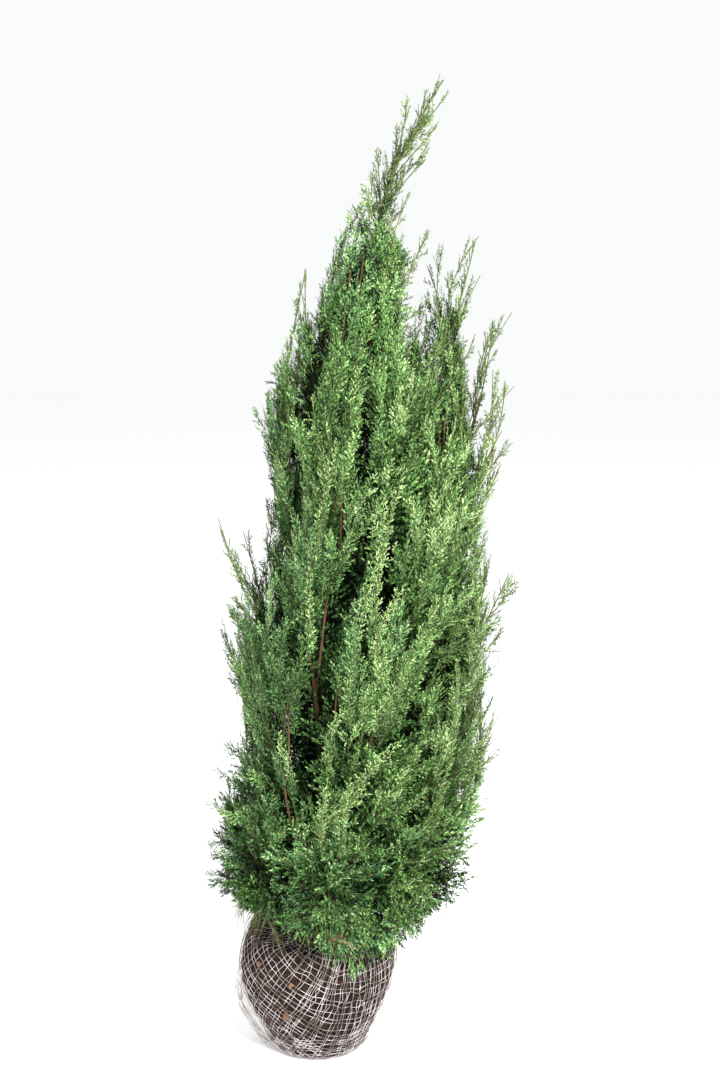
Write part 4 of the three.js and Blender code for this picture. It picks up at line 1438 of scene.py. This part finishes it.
def foliage_piece(kind, storey):
    """The shoots of one green in one storey of the crown."""
    rows = (SPRIGS["kind"] == KINDS.index(kind)) & (FRONDS["storey"][SPRIGS["frond"]] == storey)
    if not rows.any():
        return None
    piece = from_arrays(
        f"shoots_{kind}_{STOREY_NAMES[storey]}", SPRIGS["place"][rows],
        along=SPRIGS["along"][rows], facing=SPRIGS["facing"][rows], size=SPRIGS["size"][rows],
        shape=SPRIGS["shape"][rows], tone=SPRIGS["tone"][rows],
    )
    settled(piece, SHOOT_TREE, Shapes=shapes, Material=LEAVES[kind])
    return place_piece(piece, storey_nodes[storey])


foliage = [foliage_piece(kind, storey) for kind in KINDS for storey in range(3)]
print(sum(piece is not None for piece in foliage), "pieces of foliage")
for shape in list(shapes.objects):
    bpy.data.objects.remove(shape)

# %% [markdown]
# ## Twigs and stalks
# Between the shoots the eye catches red-brown stems and greenish stalks. They are lines with a
# thickness, so a second tree turns lines into tubes: Mesh to Curve, then Curve to Mesh with a small
# round profile. Shoots that stand free always keep their stems. Other twigs and stalks are left out
# where they would stick out of the crown or cross a furrow.

# %% The tree that turns lines into tubes
def tube_tree():
    """Round tubes along lines of points, as thick as the points say."""
    tree, given, made = new_tree("tubes_on_lines", ("Sides", "Material"))
    curve = tree.nodes.new("GeometryNodeMeshToCurve")
    ring = tree.nodes.new("GeometryNodeCurvePrimitiveCircle")
    ring.inputs["Radius"].default_value = 1
    sweep = tree.nodes.new("GeometryNodeCurveToMesh")
    smooth = tree.nodes.new("GeometryNodeSetShadeSmooth")
    links = tree.links
    links.new(given.outputs["Geometry"], curve.inputs["Mesh"])
    links.new(given.outputs["Sides"], ring.inputs["Resolution"])
    links.new(curve.outputs["Curve"], sweep.inputs["Curve"])
    links.new(ring.outputs["Curve"], sweep.inputs["Profile Curve"])
    links.new(named_attribute(tree, "thickness", "FLOAT"), sweep.inputs["Scale"])
    sweep.inputs["Fill Caps"].default_value = True
    links.new(sweep.outputs["Mesh"], smooth.inputs["Geometry"])
    finish_tree(tree, smooth.outputs["Geometry"], given, made)
    return tree


TUBE_TREE = tube_tree()


def tube_piece(name, lines, radii, sides, material):
    """Tubes along lines, each an array of points with a radius for each point."""
    starts = np.cumsum([0] + [len(line) for line in lines])
    edges = np.concatenate([
        np.stack([np.arange(a, b - 1), np.arange(a + 1, b)], -1) for a, b in zip(starts, starts[1:])
    ])
    piece = from_arrays(name, np.concatenate(lines), edges=edges, thickness=np.concatenate(radii) * MM)
    return settled(piece, TUBE_TREE, Sides=sides, Material=material)


# %% Stems and twigs
LEADER_PART = 0.66  # share of a leader's tip that is drawn, the rest is its leading shoot
LEADER_RADII = (LIMB_TIP_RADIUS, 1.1)  # at foot and tip
BARE_RADII = (2.6, 1.0)
WHIP_RADII = (1.3, 0.7)
TWIG_RADII = (1.1, 0.3)
INSIDE = 1.06  # other twigs and stalks reach no further out than this
TWIG_FURROW = 0.5  # and this far into a furrow

t = np.linspace(0, 1, 12)
stems = [plume for plume in PLUMES if plume not in LEADERS]
barked = [lerp(plume["start"], 1, LEADING_START * t) for plume in stems]
brown_lines = [plume["curve"](share) for plume, share in zip(stems, barked)]
brown_radii = [bough_radius(plume, share) for plume, share in zip(stems, barked)]
brown_lines += [smooth_path(np.array(course, float))(t) for course in BARE_STEMS]
brown_radii += [lerp(*BARE_RADII, t)] * len(BARE_STEMS)
green_lines = [plume["curve"](LEADER_PART * t) for plume in LEADERS]
green_radii = [lerp(*LEADER_RADII, t)] * len(LEADERS)

t = np.linspace(0, 1, 5)
for foot, bend, tip, free in zip(*(TWIGS[key] for key in ("foot", "bend", "tip", "free"))):
    line = bezier(foot, bend, tip)(t)
    if free:
        green_lines.append(line)
        green_radii.append(lerp(*WHIP_RADII, t))
    elif body_share(line).max() < INSIDE and in_furrow(line).max() < TWIG_FURROW:
        brown_lines.append(line)
        brown_radii.append(lerp(*TWIG_RADII, t))
all_foliage = sum(storey_nodes, [])
place_piece(tube_piece("twigs", brown_lines, brown_radii, 4, TWIG_BARK), all_foliage)

# %% Stalks of the fronds, and the green stems of leading shoots
STALK_RADII = np.array([0.55, 0.3])
FREE_RADII = np.array([0.8, 0.5])  # of stalks that stand free
STALK_END = 0.97  # share of a frond
STALK_FURROW = 0.15
LOWEST_STALK = 130
HIDDEN = 0.72  # stalks further in than this aren't seen


def frond_stalks():
    """The two ends of every frond's stalk."""
    share = np.array([0, STALK_END])[None, :, None]
    lift = np.array([0.0, 0, 1]) - FRONDS["along"] * FRONDS["along"][:, 2:3]
    length = FRONDS["length"][:, None, None]
    straight = FRONDS["root"][:, None] + FRONDS["along"][:, None] * length * share
    return straight + lift[:, None] * FRONDS["bend"][:, None, None] * length * share**2


stalks = frond_stalks()
free = FRONDS["sparse"] > 0
low = (stalks[..., 2] < BALL_TOP) & (np.hypot(stalks[..., 0], stalks[..., 1]) < BALL_CLEAR)
seen = ((body_share(stalks).max(1) < INSIDE) | free) & (body_share(FRONDS["root"]) > HIDDEN)
seen &= (stalks[..., 2].min(1) > LOWEST_STALK) & ~low.any(1) & (in_furrow(stalks.mean(1)) < STALK_FURROW)
green_lines += list(stalks[seen])
green_radii += [FREE_RADII if bold else STALK_RADII for bold in free[seen]]
place_piece(tube_piece("stalks", green_lines, green_radii, 3, STALK_BARK), all_foliage)

# %% [markdown]
# ## The root ball
# A lifted plant keeps a ball of its own soil round the roots. Its side bulges and is a little uneven.
# The solid's profile is turned again with many more points, and a node tree pushes the surface in and
# out with noise, so that lumps and crumbs show at the edge and not only as shading.

# %% The ball's profile
BALL_LUMPS = 0.03
BALL_SIDE = np.array([
    # radius and height, from the flat underside to the rim
    [74, 0], [83, 10], [90, 26], [99, 48], [110, 74], [119, 104], [126, 140], [122, 174], [112, 197],
], float)


def ball_profile(count):
    """Radius and height of the ball's side, from its foot up to its rim."""
    return smooth_path(BALL_SIDE)(np.linspace(0, 1, count))


def swell(angle, height):
    """How much wider the ball is at an angle and height."""
    on_side = np.sin(np.pi * np.clip(height / BALL_HEIGHT, 0, 1))
    return 1 + BALL_LUMPS * on_side * (np.sin(2 * angle + 0.6) + 0.7 * np.sin(3 * angle - height / 40))


def on_ball(angle, radius, height, proud=0.0):
    """Points on the ball, or standing proud of it."""
    r = radius * swell(angle, height) + proud
    return np.stack([r * np.cos(angle), r * np.sin(angle), height + np.zeros_like(r)], -1)


# %% The soil
def relief_tree():
    """Pushes a surface in and out along its normals with noise."""
    tree, given, made = new_tree("soil_relief", ("Depth", "Scale", "Material"))
    noise = tree.nodes.new("ShaderNodeTexNoise")
    noise.inputs["Detail"].default_value = 4
    centred = math_node(tree, "SUBTRACT", noise.outputs["Fac"], 0.5)
    depth = math_node(tree, "MULTIPLY", centred, 0)
    offset = tree.nodes.new("ShaderNodeVectorMath")
    offset.operation = "SCALE"
    move = tree.nodes.new("GeometryNodeSetPosition")
    links = tree.links
    links.new(given.outputs["Scale"], noise.inputs["Scale"])
    links.new(given.outputs["Depth"], depth.node.inputs[1])
    links.new(tree.nodes.new("GeometryNodeInputNormal").outputs["Normal"], offset.inputs["Vector"])
    links.new(depth, offset.inputs["Scale"])
    links.new(given.outputs["Geometry"], move.inputs["Geometry"])
    links.new(offset.outputs["Vector"], move.inputs["Offset"])
    finish_tree(tree, move.outputs["Geometry"], given, made)
    return tree


SOIL_SIDES = 180
SOIL_RINGS = 70
UNDER_NET = 2.5  # the soil lies this far inside the solid, so that its lumps don't pass the net
SOIL_FOOT = 1.5
SOIL_HOLE = 4  # radius at which the rings end in the middle of the top and of the underside
SOIL_DEPTH = 7
SOIL_SCALE = 70.0


def soil_ball():
    """The ball as rings from the middle of its underside to the middle of its top."""
    side = ball_profile(SOIL_RINGS)
    side[:, 0] -= UNDER_NET
    side[:, 1] = np.clip(side[:, 1], SOIL_FOOT, None)
    top = np.linspace([side[-1, 0], BALL_HEIGHT - UNDER_NET], [SOIL_HOLE, BALL_HEIGHT - UNDER_NET], 12)[1:]
    under = np.linspace([SOIL_HOLE, SOIL_FOOT], [side[0, 0], SOIL_FOOT], 6)[:-1]
    profile = np.vstack([under, side, top])
    turn = np.linspace(0, 2 * np.pi, SOIL_SIDES, endpoint=False)
    ball = from_arrays("soil_ball", *lofted(on_ball(turn[None], profile[:, :1], profile[:, 1:])))
    ball.data.shade_smooth()
    return ball


soil = settled(soil_ball(), relief_tree(), Depth=SOIL_DEPTH * MM, Scale=SOIL_SCALE, Material=SOIL)
place_piece(soil, ["root_ball"])

# %% [markdown]
# ## The netting
# The ball is wrapped in a pale net of square meshes. One family of threads climbs the ball and one
# goes round it. Where the net is pulled askew both lean over, by a slope that changes round the ball,
# so each thread is traced step by step. Every thread is also pulled about a little between its knots,
# or the net would look like a printed grid. Below it is gathered, in front it lies double, and on the
# left a loose fold stands off the ball.

# %% Threads of the net
NET_MESH = 11.5  # from thread to thread
NET_RADIUS = 0.36
NET_PROUD = 1.4
NET_STEP = 5.0  # length of one piece of thread
NET_KINK = 1.7  # how far knots are pulled out of place
KNOT_STEPS = 3  # pieces of thread from knot to knot
NET_BACK = math.radians(90)  # the seam, behind
ASKEW_AT = 222  # bearing of the middle of the stretch that is pulled askew
ASKEW_WIDTH = 62
CLIMB = 56  # how steeply threads climb there
FALL = 37  # and how steeply those that go round fall
LEAST_RADIUS = 80  # nearer to the axis they lean no further than here
NET_SIDE = np.vstack([[[62, 1.6]], np.maximum(ball_profile(60), [0, 1.6]), [[98, 200.5], [64, 201]]])
NET_ALONG = np.concatenate([[0], np.cumsum(np.linalg.norm(np.diff(NET_SIDE, axis=0), axis=1))])
BELLY = BALL_SIDE[:, 0].max()
net_chance = np.random.default_rng([SEED, 700])


def askew(angle):
    """How far the net is pulled askew at an angle: 1 in the middle of that stretch, 0 away from it."""
    away = (np.degrees(angle) - ASKEW_AT + 180) % 360 - 180
    return np.exp(-((away / ASKEW_WIDTH) ** 4))


def kinks(count):
    """Sideways pulls along a thread, straight from one knot to the next."""
    knots = net_chance.normal(0, NET_KINK, count // KNOT_STEPS + 2)
    return np.interp(np.arange(count), KNOT_STEPS * np.arange(len(knots)), knots)


def net_points(angle, along):
    """Points of a kinked thread, from angles and lengths along the ball's profile."""
    angle = angle + kinks(len(angle)) / BELLY
    along = np.clip(along + kinks(len(along)), 0, NET_ALONG[-1])
    radius, height = (np.interp(along, NET_ALONG, column) for column in NET_SIDE.T)
    return on_ball(angle, radius, height, NET_PROUD)


def climbing_thread(angle):
    """A thread that climbs the ball from below to above, leaning where the net is askew."""
    along = np.arange(0, NET_ALONG[-1], NET_STEP)
    middle = len(along) // 2
    angles = np.full(len(along), angle)
    radius = np.interp(along, NET_ALONG, NET_SIDE[:, 0])
    lean = NET_STEP / math.tan(math.radians(CLIMB)) / np.maximum(radius, LEAST_RADIUS)
    for k in range(middle + 1, len(along)):
        angles[k] = angles[k - 1] + askew(angles[k - 1]) * lean[k]
    for k in range(middle - 1, -1, -1):
        angles[k] = angles[k + 1] - askew(angles[k + 1]) * lean[k]
    return net_points(angles, along)


def round_thread(start):
    """A thread that goes round the ball from the back seam, falling where the net is askew."""
    angles = NET_BACK + np.linspace(0, 2 * np.pi, int(2 * np.pi * BELLY / NET_STEP))
    slope = -math.tan(math.radians(FALL)) * askew(angles) * BELLY * (angles[1] - angles[0])
    along = start + np.cumsum(slope)
    on = (along > 0) & (along < NET_ALONG[-1])
    return net_points(angles[on], along[on])


# %% The net, its gathers and its loose fold
DOUBLED = (248, 345)  # bearings between which the net lies double
DOUBLE_GAP = 3.5
GATHERS = np.linspace(16, 64, 9)  # lengths along the profile of the threads that are gathered below
GATHER_POINTS = 150
BEARING_PLAY = 0.25  # how unevenly climbing threads are spaced, as a share of a mesh
START_PLAY = 3
FIRST_ROUND = 4
ASKEW_FALL = 190  # threads that start this far above the rim still fall onto the ball
FOLD_BEARINGS = np.linspace(176, 206, 17)  # of the threads of the loose fold
FOLD_TOP = 138
FOLD_PROUD = 19
FOLD_FOOT = 3.0
FOLD_KINK = 2.2  # how much more than others its threads are pulled about


def fold_thread(bearing):
    """A thread of the loose fold: it leaves the ball, stands off and comes back at the floor."""
    top = FOLD_TOP * net_chance.uniform(0.7, 1)
    proud = FOLD_PROUD * net_chance.uniform(0.4, 1)
    height = np.arange(FOLD_FOOT, top, NET_STEP)
    radius = np.interp(height, BALL_SIDE[:, 1], BALL_SIDE[:, 0])
    off = proud * np.sin(np.pi * (1 - height / top) ** 0.75 * 0.8)
    angle = math.radians(bearing) + FOLD_KINK * kinks(len(height)) / BELLY
    return on_ball(angle, radius, height, NET_PROUD + np.maximum(off + kinks(len(height)), 0))


def net_threads():
    """All threads of the net."""
    count = int(2 * math.pi * BELLY / NET_MESH)
    play = net_chance.uniform(-BEARING_PLAY, BEARING_PLAY, count)
    bearings = 2 * math.pi * (np.arange(count) + play) / count
    low, high = map(math.radians, DOUBLED)
    twins = bearings[(bearings > low) & (bearings < high)] + DOUBLE_GAP / BELLY
    threads = [climbing_thread(angle) for angle in (*bearings, *twins)]
    starts = np.arange(FIRST_ROUND, NET_ALONG[-1] + ASKEW_FALL, NET_MESH)
    threads += [round_thread(start + net_chance.uniform(-START_PLAY, START_PLAY)) for start in starts]
    whole_round = NET_BACK + np.linspace(0, 2 * np.pi, GATHER_POINTS)
    threads += [net_points(whole_round, np.full(GATHER_POINTS, along)) for along in GATHERS]
    threads += [fold_thread(bearing) for bearing in FOLD_BEARINGS]
    return [thread for thread in threads if len(thread) > 3]


threads = net_threads()
radii = [np.full(len(thread), NET_RADIUS) for thread in threads]
place_piece(tube_piece("netting", threads, radii, 3, THREAD), ["root_ball"])

# %% Scraps of dry leaf caught in the net
SCRAPS = [
    # bearing, height, length, breadth
    (246, 92, 26, 11), (224, 172, 13, 8), (252, 152, 14, 7),
]


def leaf_scrap(bearing, height, length, breadth):
    """Points of one curled scrap: a spindle of six corners on the ball."""
    along = np.array([-0.5, -0.15, -0.15, 0.2, 0.2, 0.5]) * length
    across = np.array([0, -0.5, 0.5, -0.42, 0.42, 0.05]) * breadth
    angle = math.radians(bearing) + (across + 0.25 * along) / BELLY
    radius = np.interp(height + along, BALL_SIDE[:, 1], BALL_SIDE[:, 0])
    return on_ball(angle, radius, height + along, NET_PROUD + np.array([0, 2, 1, 2, 1, 3.5]))


scrap_points = np.concatenate([leaf_scrap(*scrap) for scrap in SCRAPS])
scrap_faces = [
    [6 * k + corner for corner in face]
    for k in range(len(SCRAPS)) for face in ((0, 1, 2), (1, 3, 2), (2, 3, 4), (3, 5, 4))
]
scraps = from_arrays("leaf_scraps", scrap_points, scrap_faces)
scraps.data.materials.append(DRY_LEAF)
place_piece(scraps, ["root_ball"])

# %% [markdown]
# ## The floor
# A plain pale floor takes the plant's soft shadow. It is stage, not part of the plant.

# %% A plain pale floor
FLOOR_HALF = 12000
corners = [[FLOOR_HALF * x, FLOOR_HALF * y, 0] for x, y in ((-1, -1), (1, -1), (1, 1), (-1, 1))]
floor = from_arrays("floor", corners, faces=[[0, 1, 2, 3]])
paint, _, shader = new_material("pale_floor", roughness=0.7)
shader.inputs["Base Color"].default_value = (0.98, 0.98, 0.98, 1)
floor.data.materials.append(paint)
